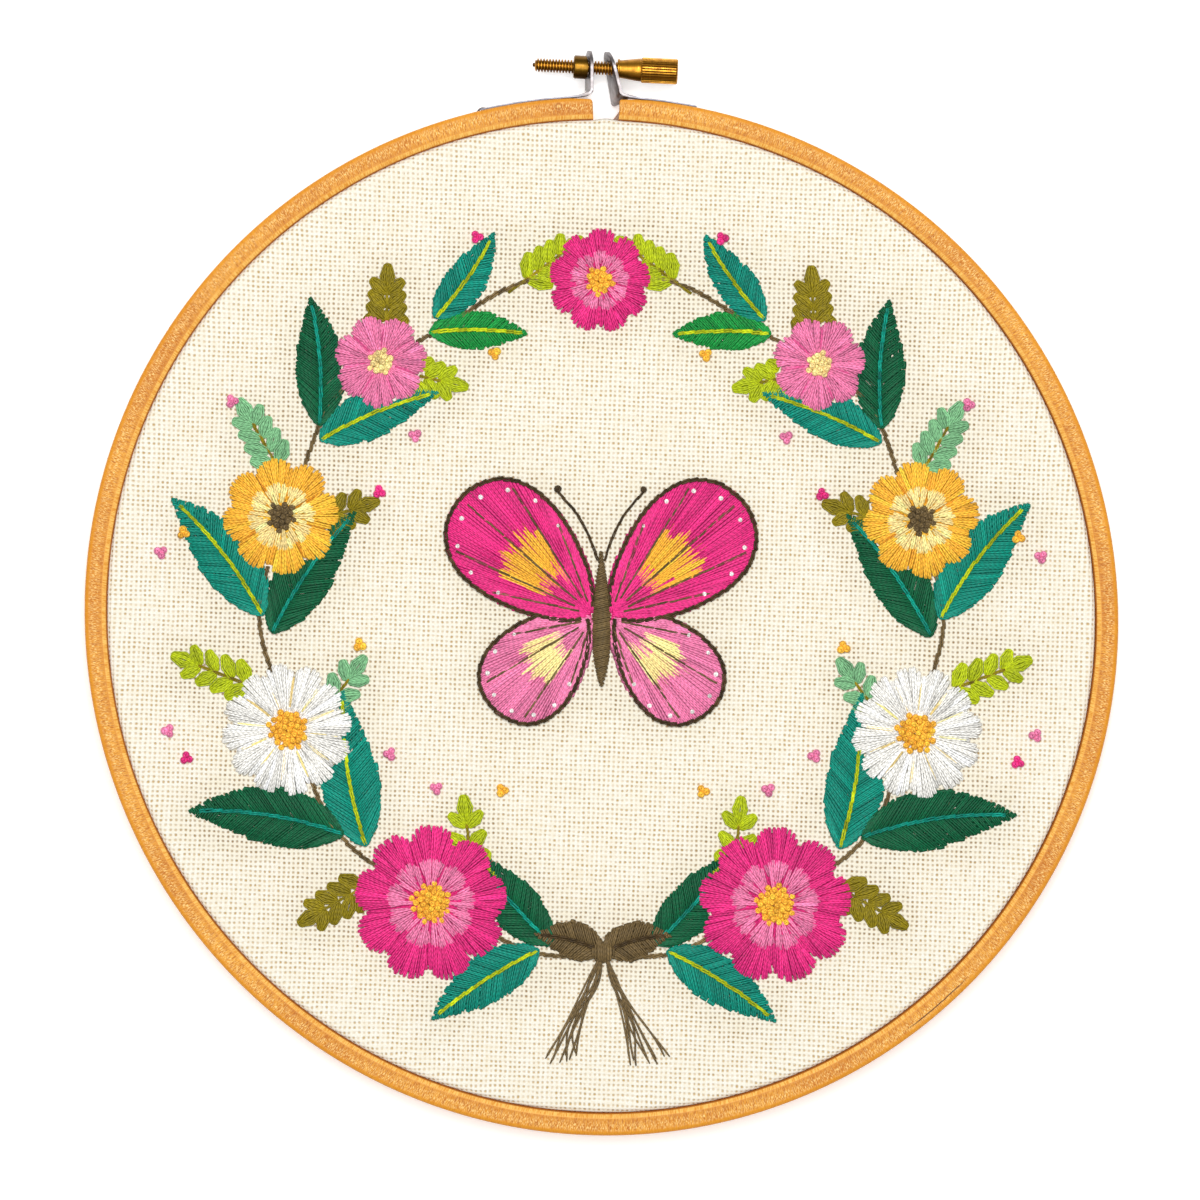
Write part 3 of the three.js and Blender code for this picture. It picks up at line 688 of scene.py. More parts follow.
def rod_and_taper(turns):
    """The place and the radii of each ring from the nib to the taper."""
    spots = np.arange(THREAD["tip"], THREAD["end"], THREAD["pitch"] / THREAD["steps"])
    phase = spots[:, None] / THREAD["pitch"] - turns / math.tau
    ridge = np.clip(np.abs((phase % 1.0) * 2 - 1) * 2.2 - 0.52, 0, 1)
    thread = THREAD["root"] + (THREAD["crest"] - THREAD["root"]) * ridge
    thread = np.minimum(thread, 1.0 + (spots[:, None] - THREAD["tip"]) * 1.3)
    nib, taper = np.array(NIB), np.array(COLLAR_AND_TAPER)
    plain = [np.repeat(part[:, 1:], SCREW_SIDES, axis=1) for part in (nib, taper)]
    places = np.concatenate([nib[:, 0], spots, taper[:, 0]])
    return places[:, None], np.concatenate([plain[0], thread, plain[1]])


def barrel_rings():
    """The place, the radius and the share of the flutes' depth of each ring of the barrel."""
    start, end, radius, size = (BARREL[name] for name in ("start", "end", "radius", "round"))
    ends = [(1 - math.cos(a), 1 - math.sin(a)) for a in np.radians(np.arange(0, 91, 15))]
    rings = [(start, 1.3, 0.0)]
    rings += [(start + size * up, radius - size * inset, min(up * 2, 1)) for up, inset in ends]
    rings += [(spot, radius, 1.0) for spot in BARREL_SPOTS]
    ends = ends[::-1]
    rings += [(end - size * up, radius - size * inset, min(up * 2, 1)) for up, inset in ends]
    rings += [(end, 1.7, 0.0), (end + 0.02, 0.6, 0.0)]
    return np.array(rings).T[..., None]


def thumb_screw_piece():
    turns = np.linspace(0, math.tau, SCREW_SIDES, endpoint=False)
    places, reach = rod_and_taper(turns)
    shank = side_by_side(places, reach * np.cos(turns), reach * np.sin(turns))
    around = np.linspace(0, math.tau, BARREL["flutes"] * 8, endpoint=False)
    groove = np.clip(np.cos(around * BARREL["flutes"]) * 1.4 - 0.2, 0, 1) ** 0.8
    spots, radii, grooved = barrel_rings()
    fluted = radii - BARREL["depth"] * grooved * groove
    barrel = side_by_side(spots, fluted * np.cos(around), fluted * np.sin(around))
    hubs = [[-14.41, 0, 0], [8.4, 0, 0], [BARREL["start"], 0, 0], [BARREL["end"] + 0.02, 0, 0]]
    x, y, z = np.concatenate([shank.reshape(-1, 3), barrel.reshape(-1, 3), hubs]).T
    c, s = math.cos(SCREW_TILT), math.sin(SCREW_TILT)
    points = side_by_side(x * c - y * s, x * s + y * c, z) + SCREW_MIDDLE
    barrel_start = len(shank) * SCREW_SIDES
    first_hub = len(points) - len(hubs)
    piece = make_piece(
        "thumb_screw_turned", points,
        *capped_faces(len(shank), SCREW_SIDES, hubs=first_hub),
        *capped_faces(len(barrel), len(around), start=barrel_start, hubs=first_hub + 2),
    )
    piece.data.set_sharp_from_angle(angle=math.radians(60))
    thread_depth = (THREAD["crest"] - reach) / (THREAD["crest"] - THREAD["root"])
    in_thread = SHADE_IN_THREAD * thread_depth * (places < THREAD["end"])
    in_flutes = SHADE_IN_FLUTE * grooved * groove
    hollow_shade = np.concatenate([in_thread.ravel(), in_flutes.ravel(), np.zeros(len(hubs))])
    give(piece, "hollow_shade", np.clip(hollow_shade, 0, 1))
    return piece


bright_brass = turned_brass_finish(
    "polished_brass", (188, 134, 40), (122, 74, 12), 3000.0, 0.34, 0.46,
)
dress(thumb_screw_piece(), bright_brass, body="screw", replaced=["thumb_screw"])

# ---- Thread, and the wreath's stem ----
# All stitches are of stranded cotton, two strands at a time, which comes up through the cloth,
# lies on it and goes down again. The stem of the wreath is a wavy line of brown stem stitch,
# each stitch overlapping the one before.

THREAD_WIDTH = 0.8
STRANDS_AT = np.array([-0.25, 0.25])
STRAND_HALF_WIDTH = 0.262
STRAND_HEIGHT = 0.22
STITCH_DIP = 0.7
STITCH_DEPTH = np.array([-0.3, 0.1, 0.2, 0.1, -0.3])
STITCH_REST = np.array([0.0, 0.8, 1.0, 0.8, 0.0])
STITCH_RISE = np.array([0.0, 0.5, 1.0, 0.5, 0.0])
STRAND_SPREAD = np.array([0.3, 0.95, 1.0, 0.95, 0.3])
STRAND_SIZE = np.array([0.7, 1.0, 1.0, 1.0, 0.7])
STRAND_TURNS = np.radians(90 + 72 * np.arange(5))
# painted light round each strand, from its top round to its underside: the top is painted lighter
# as a highlight and the sides and underside darker as shade
PAINTED_STRAND_SHADE = np.array([1.12, 0.80, 0.42, 0.42, 0.80])
SHORTEST_STITCH = 0.7
DYES = {
    "deep": (4, 88, 54), "teal": (3, 132, 113), "mid": (20, 140, 60), "pale": (122, 178, 129),
    "lime": (172, 186, 18), "olive": (134, 119, 14), "magenta": (220, 46, 125),
    "pink": (225, 92, 150), "rose": (229, 124, 166), "orange": (250, 184, 58),
    "cream": (248, 222, 150), "white": (238, 236, 230), "brown": (106, 87, 54),
    "dark": (70, 54, 30), "amber": (224, 150, 40),
}
# the columns that a stitch's numbers stand in
START, END, FORM, DYE = slice(0, 2), slice(2, 4), slice(4, 8), slice(8, 11)
WREATH = 70.0
STEM_WAVE = 1.6
STEM_TURNS = np.arange(4, 172.5, 0.5)
HALVES = (1, -1)


def cotton_finish():
    finish = Finish(
        "stranded_cotton", Roughness=0.55, Sheen_Weight=0.06, Sheen_Roughness=0.35,
        Specular_IOR_Level=0.25,
    )
    lay = finish.kept("lay", "Vector")
    along, around, _ = lay.parts()
    ply = ((along * 0.95 + around) * math.tau).reckon("SINE")
    fibres = lay.scaled(0.5, 5.0, 9.0).noise(1.0, 2.0, 0.6)
    # painted highlight and shade: the ply's twist paints light and dark bands along each strand;
    # the fibres vary its tone at random
    shade = ply * 0.24 + fibres.spread(0.3, 0.7, 0.78, 1.18)
    sockets = {0: 1.0, 6: finish.kept("dye", "Color"), 7: shade}
    shaded = add_node(finish.tree, "Mix", sockets, 2, data_type="RGBA", blend_type="MULTIPLY")
    finish.vary(Base_Color=shaded)
    finish.emboss(ply * 0.5 + fibres, 0.35, 0.00006)
    return finish.material


cotton = cotton_finish()


def dye_lot(dyes, count, uneven, chance):
    """Colours for threads of one dye, or of a dye each, no two of them quite alike."""
    colours = np.array([linear(*DYES[dye])[:3] for dye in dyes])
    return np.clip(colours * np.exp(uneven * chance.standard_normal((count, 1))), 0, 0.95)


def cotton_piece(name, points, dyes, along, chance, turned=False):
    """Threads from the points round them, with how the cotton lies along and round each."""
    steps, sides = points.shape[-3:-1]
    ring = np.arange(sides)
    last = (steps - 1) * sides
    first = np.arange(0, points.size // 3, steps * sides)[:, None, None]
    parts = [grid_faces(steps, sides), np.array([ring[::-1], ring + last])]
    if turned:
        parts = [part[:, ::-1] for part in parts]
    faces = [(first + part).reshape(-1, part.shape[1]) for part in parts]
    piece = make_piece(name, out_of_round(points.reshape(-1, 3)), *faces)
    give(piece, "dye", np.broadcast_to(dyes, points.shape).reshape(-1, 3))
    lay = np.empty(points.shape)
    lay[..., 0] = along
    lay[..., 1] = ring / sides
    lay[..., 2] = chance.uniform(0, 20, (*points.shape[:-3], 1, 1))
    give(piece, "lay", lay.reshape(-1, 3))
    dress(piece, cotton)
    return piece


def pointing(turn):
    return side_by_side(np.cos(turn), np.sin(turn))


def square_to(way):
    return side_by_side(-way[..., 1], way[..., 0])


class Stitches:
    """The stitches of one piece: both ends on the cloth, height, width, bow and dye."""

    books = []

    def __init__(self, seed):
        self.chance = np.random.default_rng(seed)
        self.rows = []
        self.books.append(self)

    def add(self, starts, ends, dye, rest=0.0, rise=0.15, width=THREAD_WIDTH, bow=0.0, uneven=0.11):
        starts, ends = np.atleast_2d(starts), np.atleast_2d(ends)
        rows = np.empty((len(starts), DYE.stop))
        rows[:, START], rows[:, END] = starts, ends
        rows[:, FORM] = side_by_side(rest, rise, width, bow)
        rows[:, DYE] = dye_lot([dye], len(rows), uneven, self.chance)
        self.rows.append(rows)

    def tuck_under(self, circles):
        """Takes away what flowers worked later would cover."""
        rows = np.concatenate(self.rows)
        for x, y, radius in circles:
            middle = np.array([x, y])
            start, end = rows[:, START] - middle, rows[:, END] - middle
            start_in, end_in = (np.hypot(*part.T) < radius for part in (start, end))
            way = end - start
            a = (way**2).sum(axis=1)
            b = (start * way).sum(axis=1)
            c = (start**2).sum(axis=1) - radius**2
            root = np.sqrt(np.clip(b * b - a * c, 0, None))
            crossings = (
                (END, end_in & ~start_in, (-b - root) / a),
                (START, start_in & ~end_in, (-b + root) / a),
            )
            for where, cut, share in crossings:
                there = middle + start + way * share[:, None]
                rows[:, where] = np.where(cut[:, None], there, rows[:, where])
            rows = rows[~(start_in & end_in)]
        lengths = np.hypot(*(rows[:, END] - rows[:, START]).T)
        self.rows = [rows[lengths > SHORTEST_STITCH]]

    def make(self, name):
        rows = np.concatenate(self.rows)
        count, chance = len(rows), self.chance
        start, whole = rows[:, START], rows[:, END] - rows[:, START]
        rest, rise, width, bow = rows[:, FORM].T
        length = np.hypot(*whole.T)
        side = square_to(whole / np.maximum(length, 1e-6)[:, None])[:, None, None]
        bow = bow + chance.normal(0, 0.05, count)
        dip = np.minimum(STITCH_DIP / np.maximum(length, 1e-6), 0.1)
        shares = side_by_side(0.0, dip, 0.5, 1 - dip, 1.0)
        strand = STRANDS_AT * width[:, None] * chance.uniform(0.85, 1.12, (count, 1))
        offset = (bow[:, None] * 4 * shares * (1 - shares))[:, None]
        offset = offset + strand[:, :, None] * STRAND_SPREAD
        offset += chance.normal(0, 0.025, (count, 2, 1)) * STRAND_SIZE
        middle = start[:, None, None] + whole[:, None, None] * shares[:, None, :, None]
        middle = middle + side * offset[..., None]
        lift = STITCH_DEPTH + rest[:, None] * STITCH_REST + rise[:, None] * STITCH_RISE
        lift = lift[:, None] + chance.normal(0, 0.022, (count, 2, 1)) * STITCH_RISE
        size = STRAND_SIZE[:, None]
        wide = STRAND_HALF_WIDTH * width[:, None, None, None] * size * np.cos(STRAND_TURNS)
        tall = STRAND_HEIGHT * size * np.sin(STRAND_TURNS)
        flat = middle[..., None, :] + side[:, None] * wide[..., None]
        height = CLOTH_FRONT + lift[..., None] + tall
        points = np.concatenate([flat, height[..., None]], axis=-1)
        # painted shade between strands, weaker on pale dyes
        paleness = rows[:, DYE].mean(axis=1, keepdims=True)
        shade = PAINTED_STRAND_SHADE ** (1 - 0.55 * paleness)
        dyes = np.clip(rows[:, None, DYE] * shade[..., None], 0, 0.95)[:, None, None]
        along = (length[:, None] * shares)[:, None, :, None]
        along = along + chance.uniform(0, 9, (count, 2, 1, 1))
        return cotton_piece(name, points, dyes, along, chance)


def marks_along(path):
    """How far each point of a path lies from its start."""
    return np.concatenate([[0], np.cumsum(np.hypot(*np.diff(path, axis=0).T))])


def on_path(distance, marks, path):
    return side_by_side(*(np.interp(distance, marks, part) for part in path.T))


def at_wreath(turn, radius, half):
    """A point on one half of the wreath, turn degrees from the bow."""
    return pointing(math.radians(turn - 90)) * (half * radius, radius)


def stem_stitch(book, path, dye, step=1.9, reach=2.6, lean=0.2, uneven=0.2, **more):
    """A line of overlapping slanted stitches along a path."""
    path = np.asarray(path)
    marks = marks_along(path)
    begin = np.arange(-0.3 * step, marks[-1] - 0.6 * step, step)
    begin = begin + book.chance.normal(0, 0.07, len(begin))
    ends = on_path(np.minimum(begin + reach, marks[-1]), marks, path)
    starts = on_path(np.maximum(begin, 0), marks, path)
    way = (ends - starts) / np.maximum(np.hypot(*(ends - starts).T), 1e-6)[:, None]
    side = square_to(way) * lean
    book.add(starts - side, ends + side, dye, uneven=uneven, **more)


Flower = namedtuple("Flower", "at radius petals eye dye parting heart knots")
FLOWERS = [
    Flower(31, 16.5, 9, 4.3, "magenta", "magenta", "rose", "orange"),
    Flower(70, 14, 12, 4.2, "white", "cream", None, "orange"),
    Flower(107, 12.5, 8, 3.1, "orange", "amber", "cream", "brown"),
    Flower(139, 10, 7, 2.7, "rose", "pink", None, "cream"),
    Flower(180, 11, 9, 3.0, "magenta", "magenta", "rose", "orange"),
]
FLOWER_PLACES = [
    (flower, at_wreath(flower.at, WREATH, half))
    for flower in FLOWERS for half in (HALVES if flower.at < 180 else HALVES[:1])
]
COVERED = [(*place, 0.85 * flower.radius) for flower, place in FLOWER_PLACES]

stem = Stitches(seed=11)
for half in HALVES:
    waves = WREATH + STEM_WAVE * np.sin(np.radians(9 * STEM_TURNS))
    path = [at_wreath(turn, radius, half) for turn, radius in zip(STEM_TURNS, waves)]
    stem_stitch(stem, path, "brown", width=0.85, rise=0.14)
stem.tuck_under(COVERED)
stem_stitches = stem.make("wreath_stem_stitches")

# ---- Leaves ----
# Each leaf is worked in fishbone stitch, slanting from its edge back to the middle and filling
# it closely, and then a rib of stem stitch in another colour is laid over the meeting line.

# degrees round the wreath, side, lean, length, width, bend, dye, dye of the rib
LEAVES = [
    (11, 1, 44, 27, 10.5, -16, "teal", "lime"), (9, -1, 40, 26, 10.5, 14, "deep", "teal"),
    (50, 1, 42, 33, 12.5, -24, "deep", "teal"), (46, -1, 36, 33, 12.5, 20, "teal", "lime"),
    (90, 1, 38, 31, 12, -22, "teal", "lime"), (87, -1, 38, 31, 11.5, 18, "deep", "teal"),
    (124, 1, 38, 27, 10.5, -20, "deep", "teal"), (122, -1, 36, 27, 10, 18, "teal", "lime"),
    (151, 1, 26, 22, 8.5, -16, "teal", "lime"), (149, -1, 32, 21, 8, 14, "mid", "lime"),
]
LEAF_STEP = 0.86
LEAF_SLANT = 0.24
LEAF_SHARES = np.arange(61) / 60


def leaf_half_width(width, share):
    """A leaf is widest a little before its middle and pointed at both ends."""
    return width / 2 * np.sin(math.pi * share**0.8) ** 0.85


def leaf_stitches(
    book, base, heading, length, width, bend, dye, rib, half, step=LEAF_STEP, raised=0.0,
):
    if half < 0:
        heading, bend = 180 - heading, -bend
    way = math.radians(heading) + math.radians(bend) * (LEAF_SHARES - 0.5)
    moves = pointing((way[:-1] + way[1:]) / 2) * length / (len(way) - 1)
    line = np.concatenate([[base], base + np.cumsum(moves, axis=0)])

    def on_line(share):
        """Where a share of the leaf's length lies, and the way square to it."""
        turn = np.interp(share, LEAF_SHARES, way)
        return on_path(share, LEAF_SHARES, line), square_to(pointing(turn))

    for offset in np.arange(-width / 2 + 0.7, width / 2 - 0.5, 1.05):
        inside = LEAF_SHARES[leaf_half_width(width, LEAF_SHARES) > abs(offset) + 0.45]
        if len(inside) < 6:
            continue
        cuts = np.linspace(inside[0], inside[-1], 4)
        begin, _ = on_line(cuts[:-1])
        stop, square = on_line(cuts[1:])
        aside = square * offset
        book.add(begin + aside, stop + aside, dye, rest=raised - 0.16, rise=0.0, width=1.75)
    count = int(length / step)
    for hand in HALVES:
        out = (np.arange(count) + 0.5 + 0.25 * hand) / count
        out = np.clip(out + book.chance.normal(0, 0.10 / count, count), 0.012, 0.995)
        wide = leaf_half_width(width, out)
        slant = LEAF_SLANT * (1 - 0.6 * out) * np.clip(wide * 3 / width, 0.25, 1)
        edge, square = on_line(out)
        wide = wide + book.chance.normal(0, 0.13, count)
        edge = edge + square * (hand * wide)[:, None]
        middle, square = on_line(np.maximum(out - slant, 0))
        middle = middle - square * (hand * 0.22)
        book.add(middle, edge, dye, rest=raised + 0.06, rise=0.24, width=THREAD_WIDTH * 1.04)
    under_rib, _ = on_line(np.linspace(0.02, 0.96, 6))
    book.add(under_rib[:-1], under_rib[1:], dye, rest=raised - 0.06, rise=0.0, width=1.3)
    inner, _ = on_line(np.linspace(0.0, 0.93, 40))
    form = {"rest": raised + 0.32, "rise": 0.1, "width": 0.8}
    stem_stitch(book, inner, rib, step=2.0, reach=2.8, lean=0.14, **form)


leaves = Stitches(seed=23)
for half in HALVES:
    for at, side, lean, *shape_and_dyes in LEAVES:
        base = at_wreath(at, WREATH + side, half)
        leaf_stitches(leaves, base, at - lean * side, *shape_and_dyes, half)
leaves.tuck_under(COVERED)
leaf_work = leaves.make("leaf_stitches")

# ---- Sprigs ----
# Light sprays between the flowers: an olive stem, and pairs of small leaves that are four
# threads each, drawn from base to tip.

# degrees round the wreath, side, lean, length, dye of the leaves
SPRIGS = [
    (22, -1, 62, 22, "lime"), (40, 1, 70, 16, "olive"), (66, -1, 60, 19, "pale"),
    (76, 1, 55, 18, "lime"), (104, -1, 58, 17, "olive"), (112, 1, 52, 16, "pale"),
    (138, -1, 55, 14, "lime"), (140, 1, 48, 14, "olive"), (164, 1, 20, 14, "lime"),
]
SPRIG_LEAF = {"length": 6.0, "width": 2.9, "spread": math.radians(48)}
SPRIG_PAIRS = np.linspace(0.35, 0.95, 4)
SPRIG_THREADS = np.array([-0.42, -0.14, 0.14, 0.42])


def small_leaf(book, base, heading, dye, size=1.0):
    length, width = SPRIG_LEAF["length"] * size, SPRIG_LEAF["width"] * size
    bows = SPRIG_THREADS * width
    way = pointing(heading)
    side = square_to(way) * bows[:, None]
    ends = base + way * length + side * 0.1
    book.add(base + side * 0.12, ends, dye, rest=0.03, rise=0.16, width=0.8, bow=bows)
    under = (base + way * 0.6, base + way * (length - 0.6))
    book.add(*under, dye, rest=-0.12, rise=0.0, width=width * 0.8)


sprigs = Stitches(seed=37)
for half in HALVES:
    for at, side, lean, length, dye in SPRIGS:
        base = at_wreath(at, WREATH, half)
        heading = math.radians(at - lean * side)
        heading = heading if half > 0 else math.pi - heading
        whole = pointing(heading) * length
        form = {"width": 0.62, "rise": 0.1}
        stem_stitch(sprigs, [base, base + whole], "olive", reach=3.0, lean=0.06, **form)
        for share in SPRIG_PAIRS:
            for hand in HALVES:
                turned = heading + hand * SPRIG_LEAF["spread"]
                small_leaf(sprigs, base + whole * share, turned, dye, size=1.1 - 0.3 * share)
        small_leaf(sprigs, base + whole, heading, dye)
sprigs.tuck_under(COVERED)
sprig_work = sprigs.make("sprig_stitches")

# ---- Flowers ----
# Petals of satin stitch, worked outwards from the eye with long and short threads so that they
# stay close as they spread, over a low padding. Some flowers have a second, paler ring of short
# petals on top.

PETAL_TURN = math.radians(8)
PETAL_NOTCH = 0.18
PETAL_STEP = 0.8


def petal_share(angle, petals):
    """How far an angle is from its petal's middle, from -0.5 to 0.5 of a petal."""
    turned = (angle - PETAL_TURN) * petals / math.tau
    return turned - np.round(turned)


def notch(share):
    """How much shorter the petals are between one and the next."""
    return PETAL_NOTCH * np.abs(2 * share) ** 3.2


def petal_padding(book, place, radius, start, petals, dye, rest):
    count = int(math.tau * radius * 0.6)
    angle = np.arange(count) * math.tau / count
    reach = radius * (0.93 - notch(petal_share(angle, petals)))
    way = pointing(angle)
    ends = place + way * reach[:, None]
    book.add(place + way * start, ends, dye, rest=rest, rise=0.0, width=1.7)


def petal_ring(book, place, radius, start, petals, dye, rest):
    count = int(math.tau * radius * 0.86 / PETAL_STEP)
    angle = (np.arange(count) + book.chance.normal(0, 0.12, count)) * math.tau / count
    share = petal_share(angle, petals)
    reach = radius * (1 - notch(share)) + book.chance.normal(0, 0.12, count)
    depth = radius - start
    begin = start + np.array([0.0, 0.42, 0.2])[np.arange(count) % 3] * depth
    begin = begin + book.chance.normal(0, 0.05, count) * depth
    starts = place + pointing(angle - 0.3 * share * math.tau / petals) * begin[:, None]
    ends = place + pointing(angle) * reach[:, None]
    hump = 0.30 * (1 - (2 * share) ** 2) * 0.6
    book.add(starts, ends, dye, rest=rest + hump, rise=0.06 + hump, width=THREAD_WIDTH * 1.05)


def parting_lines(book, place, radius, start, petals, dye, rest):
    way = pointing(PETAL_TURN + (np.arange(petals) + 0.5) * math.tau / petals)
    ends = place + way * radius * 0.8
    book.add(place + way * start, ends, dye, rest=rest, rise=0.05, width=0.5)


for number, flower in enumerate(FLOWERS):
    book = Stitches(seed=50 + number)
    radius, petals, eye, dye = flower.radius, flower.petals, flower.eye, flower.dye
    for place in [place for kind, place in FLOWER_PLACES if kind is flower]:
        petal_padding(book, place, radius, eye * 0.7, petals, dye, rest=0.16)
        petal_ring(book, place, radius, eye * 0.7, petals, dye, rest=0.42)
        parting_lines(book, place, radius, eye, petals, flower.parting, rest=0.46)
        petal_padding(book, place, eye * 1.02, 0.2, 1, flower.knots, rest=0.52)
        if flower.heart:
            petal_ring(book, place, radius * 0.6, eye * 0.7, petals, flower.heart, rest=0.7)
    book.make(f"flower_stitches_{number + 1}")

# ---- Knots ----
# The eyes of the flowers and the berries are French knots: the thread is wound twice round the
# needle and drawn down into a small bead, and the beads are set close together in a spiral.

KNOT = {"radius": 0.36, "thread": 0.28, "turns": 2.2, "steps": 22, "sides": 6}
KNOTS_APART = 0.74
SPIRAL_STEP = math.radians(137.5)
# degrees round the wreath, distance from its middle, dye
BERRIES = [
    (44, 50, "rose"), (30, 42, "orange"), (57, 53, "rose"), (71, 92, "magenta"),
    (75, 94, "rose"), (83, 51, "orange"), (101, 89, "orange"), (98, 93, "rose"),
    (119, 53, "magenta"), (120, 89, "rose"), (134, 54, "rose"), (158, 59, "orange"),
    (162, 83, "magenta"),
]


def knots_piece(name, seed, places):
    """places holds x, y, height, size and dye for each knot."""
    chance = np.random.default_rng(seed)
    count = len(places)
    spots = np.array([place[:4] for place in places])
    x, y, height, size = spots.T[..., None]
    share = np.linspace(0, 1, KNOT["steps"])
    turn = chance.uniform(0, math.tau, (count, 1)) + share * KNOT["turns"] * math.tau
    size = size * chance.uniform(0.92, 1.08, (count, 1))
    coil = KNOT["radius"] * size * np.interp(share, [0, 0.12, 0.55, 1.0], [0.6, 1.2, 0.95, 0.12])
    rise = np.interp(share, [0, 0.12, 0.5, 0.85, 1.0], [-0.2, 0.2, 0.34, 0.62, 0.45]) * size
    outward = pointing(turn)
    around = math.tau * np.arange(KNOT["sides"]) / KNOT["sides"]
    thick = KNOT["thread"] * size * np.interp(share, [0, 0.06, 0.9, 1], [0.6, 1, 1, 0.55])
    thick = thick[..., None]
    reach = coil[..., None] + thick * np.cos(around)
    up = (CLOTH_FRONT + height + rise)[..., None] + thick * np.sin(around)
    points = np.empty((count, KNOT["steps"], KNOT["sides"], 3))
    points[..., :2] = np.stack([x, y], axis=-1)[:, :, None] + outward[:, :, None] * reach[..., None]
    points[..., 2] = up
    dyes = dye_lot([place[4] for place in places], count, 0.12, chance)[:, None, None]
    return cotton_piece(name, points, dyes, (share * 6.0)[:, None], chance, turned=True)


knots = []
for flower, place in FLOWER_PLACES:
    amount = int((flower.eye / KNOTS_APART) ** 2)
    for i in range(amount):
        reach = math.sqrt((i + 0.3) / amount)
        x, y = place + flower.eye * reach * pointing(i * SPIRAL_STEP)
        knots.append((x, y, 0.6 + 0.3 * (1 - reach**2), 1.0, flower.knots))
for half in HALVES:
    for at, radius, dye in BERRIES:
        for i in range(3):
            turn = math.radians(120 * i + 20 * at)
            knots.append((*(at_wreath(at, radius, half) + 0.7 * pointing(turn)), 0.1, 1.22, dye))
knot_work = knots_piece("french_knots", 71, knots)

# ---- Butterfly ----
# The wings are long and short stitch, rayed from the body in rows that bite into each other,
# with a paler patch in each. They are edged and veined in brown stem stitch, and dotted white
# along the margin.

Wing = namedtuple("Wing", "x y angle length width dye root patch patch_dye veins")
UPPER = Wing(
    16, 12.5, math.radians(42), 35, 22, "magenta", root=(1.9, 0.5),
    patch=(18.5, 14.5, 20, 12), patch_dye="orange", veins=5,
)
LOWER = Wing(
    13, -9.5, math.radians(-48), 27, 18, "rose", root=(1.9, -0.6),
    patch=(13.5, -10.5, 14, 9), patch_dye="cream", veins=4,
)
WING_FLARE = 0.35
WING_STEP = 0.84
# share of the way out where a row of stitches starts and ends, and how many rays it skips
WING_ROWS = [(0.64, 1.0, 1), (0.34, 0.72, 2), (0.05, 0.42, 4)]
BODY = {"length": 28, "width": 4.4, "tail": -14.5, "stitches": 36, "slope": 0.5}
FEELER = np.array([(0.6, 11.5), (2.2, 16.0), (4.6, 21.0), (9.0, 26.0)])


def wing_edge(wing, around, grow=1.0):
    """Points round a wing, which is an egg with its wide end outwards."""
    out = wing.length / 2 * np.cos(around) * grow
    across = wing.width / 2 * np.sin(around) * (1 + WING_FLARE * np.cos(around)) * grow
    way = pointing(wing.angle)
    return (wing.x, wing.y) + out[..., None] * way + across[..., None] * square_to(way)


def out_and_across(spots, middle, wing):
    way = pointing(wing.angle)
    return (spots - middle) @ way, (spots - middle) @ square_to(way)


def in_patch(wing, spots):
    x, y, length, width = wing.patch
    out, across = out_and_across(spots, (x, y), wing)
    return (2 * out / length) ** 2 + (2 * across / width) ** 2 < 1


def in_upper_wing(spots):
    """Where the upper wing lies over the lower one."""
    out, across = out_and_across(spots, (UPPER.x, UPPER.y), UPPER)
    out, across = out * 2 / UPPER.length, across * 2 / UPPER.width
    return out**2 + (across / (1 + WING_FLARE * np.clip(out, -1, 1))) ** 2 < 1.0


def wing_stitches(book, wing, mirror):
    edge = wing_edge(wing, np.linspace(-math.pi, math.pi, 721))
    root = np.array(wing.root)
    marks = marks_along(edge)
    ray_count = int(marks[-1] / WING_STEP)
    rim = on_path((np.arange(ray_count) + 0.5) / ray_count * marks[-1], marks, edge)
    rays = rim - root
    reach = np.hypot(*rays.T)
    padded = rays[reach > 4][::2]
    if wing is LOWER:
        padded = padded[~in_upper_wing(root + padded * 0.5)]
    starts = np.repeat([root], len(padded), axis=0)
    ends = root + padded * 0.98
    book.add(starts * mirror, ends * mirror, wing.dye, rest=-0.15, rise=0.0, width=2.7)
    for level, (near, far, every) in enumerate(WING_ROWS):
        chosen = np.arange(ray_count)[(level % every)::every]
        chosen = chosen[reach[chosen] > 4]
        near = near + book.chance.normal(0, 0.035, len(chosen)) - 0.09 * (chosen // every % 2)
        far = np.full(len(chosen), 1.03 if level == 0 else far)
        if level:
            far = far + book.chance.normal(0, 0.03, len(chosen))
        starts = root + rays[chosen] * np.clip(near, 0.02, 1)[:, None]
        ends = root + rays[chosen] * far[:, None]
        if wing is LOWER:
            seen = ~(in_upper_wing((starts + ends) / 2) | in_upper_wing(ends))
            starts, ends = starts[seen], ends[seen]
        patch = in_patch(wing, (starts + ends) / 2) & (level > 0)
        form = {"rest": 0.08 + 0.05 * (2 - level), "rise": 0.14, "width": 0.86}
        for here, dye in ((patch, wing.patch_dye), (~patch, wing.dye)):
            if here.any():
                book.add(starts[here] * mirror, ends[here] * mirror, dye, **form)


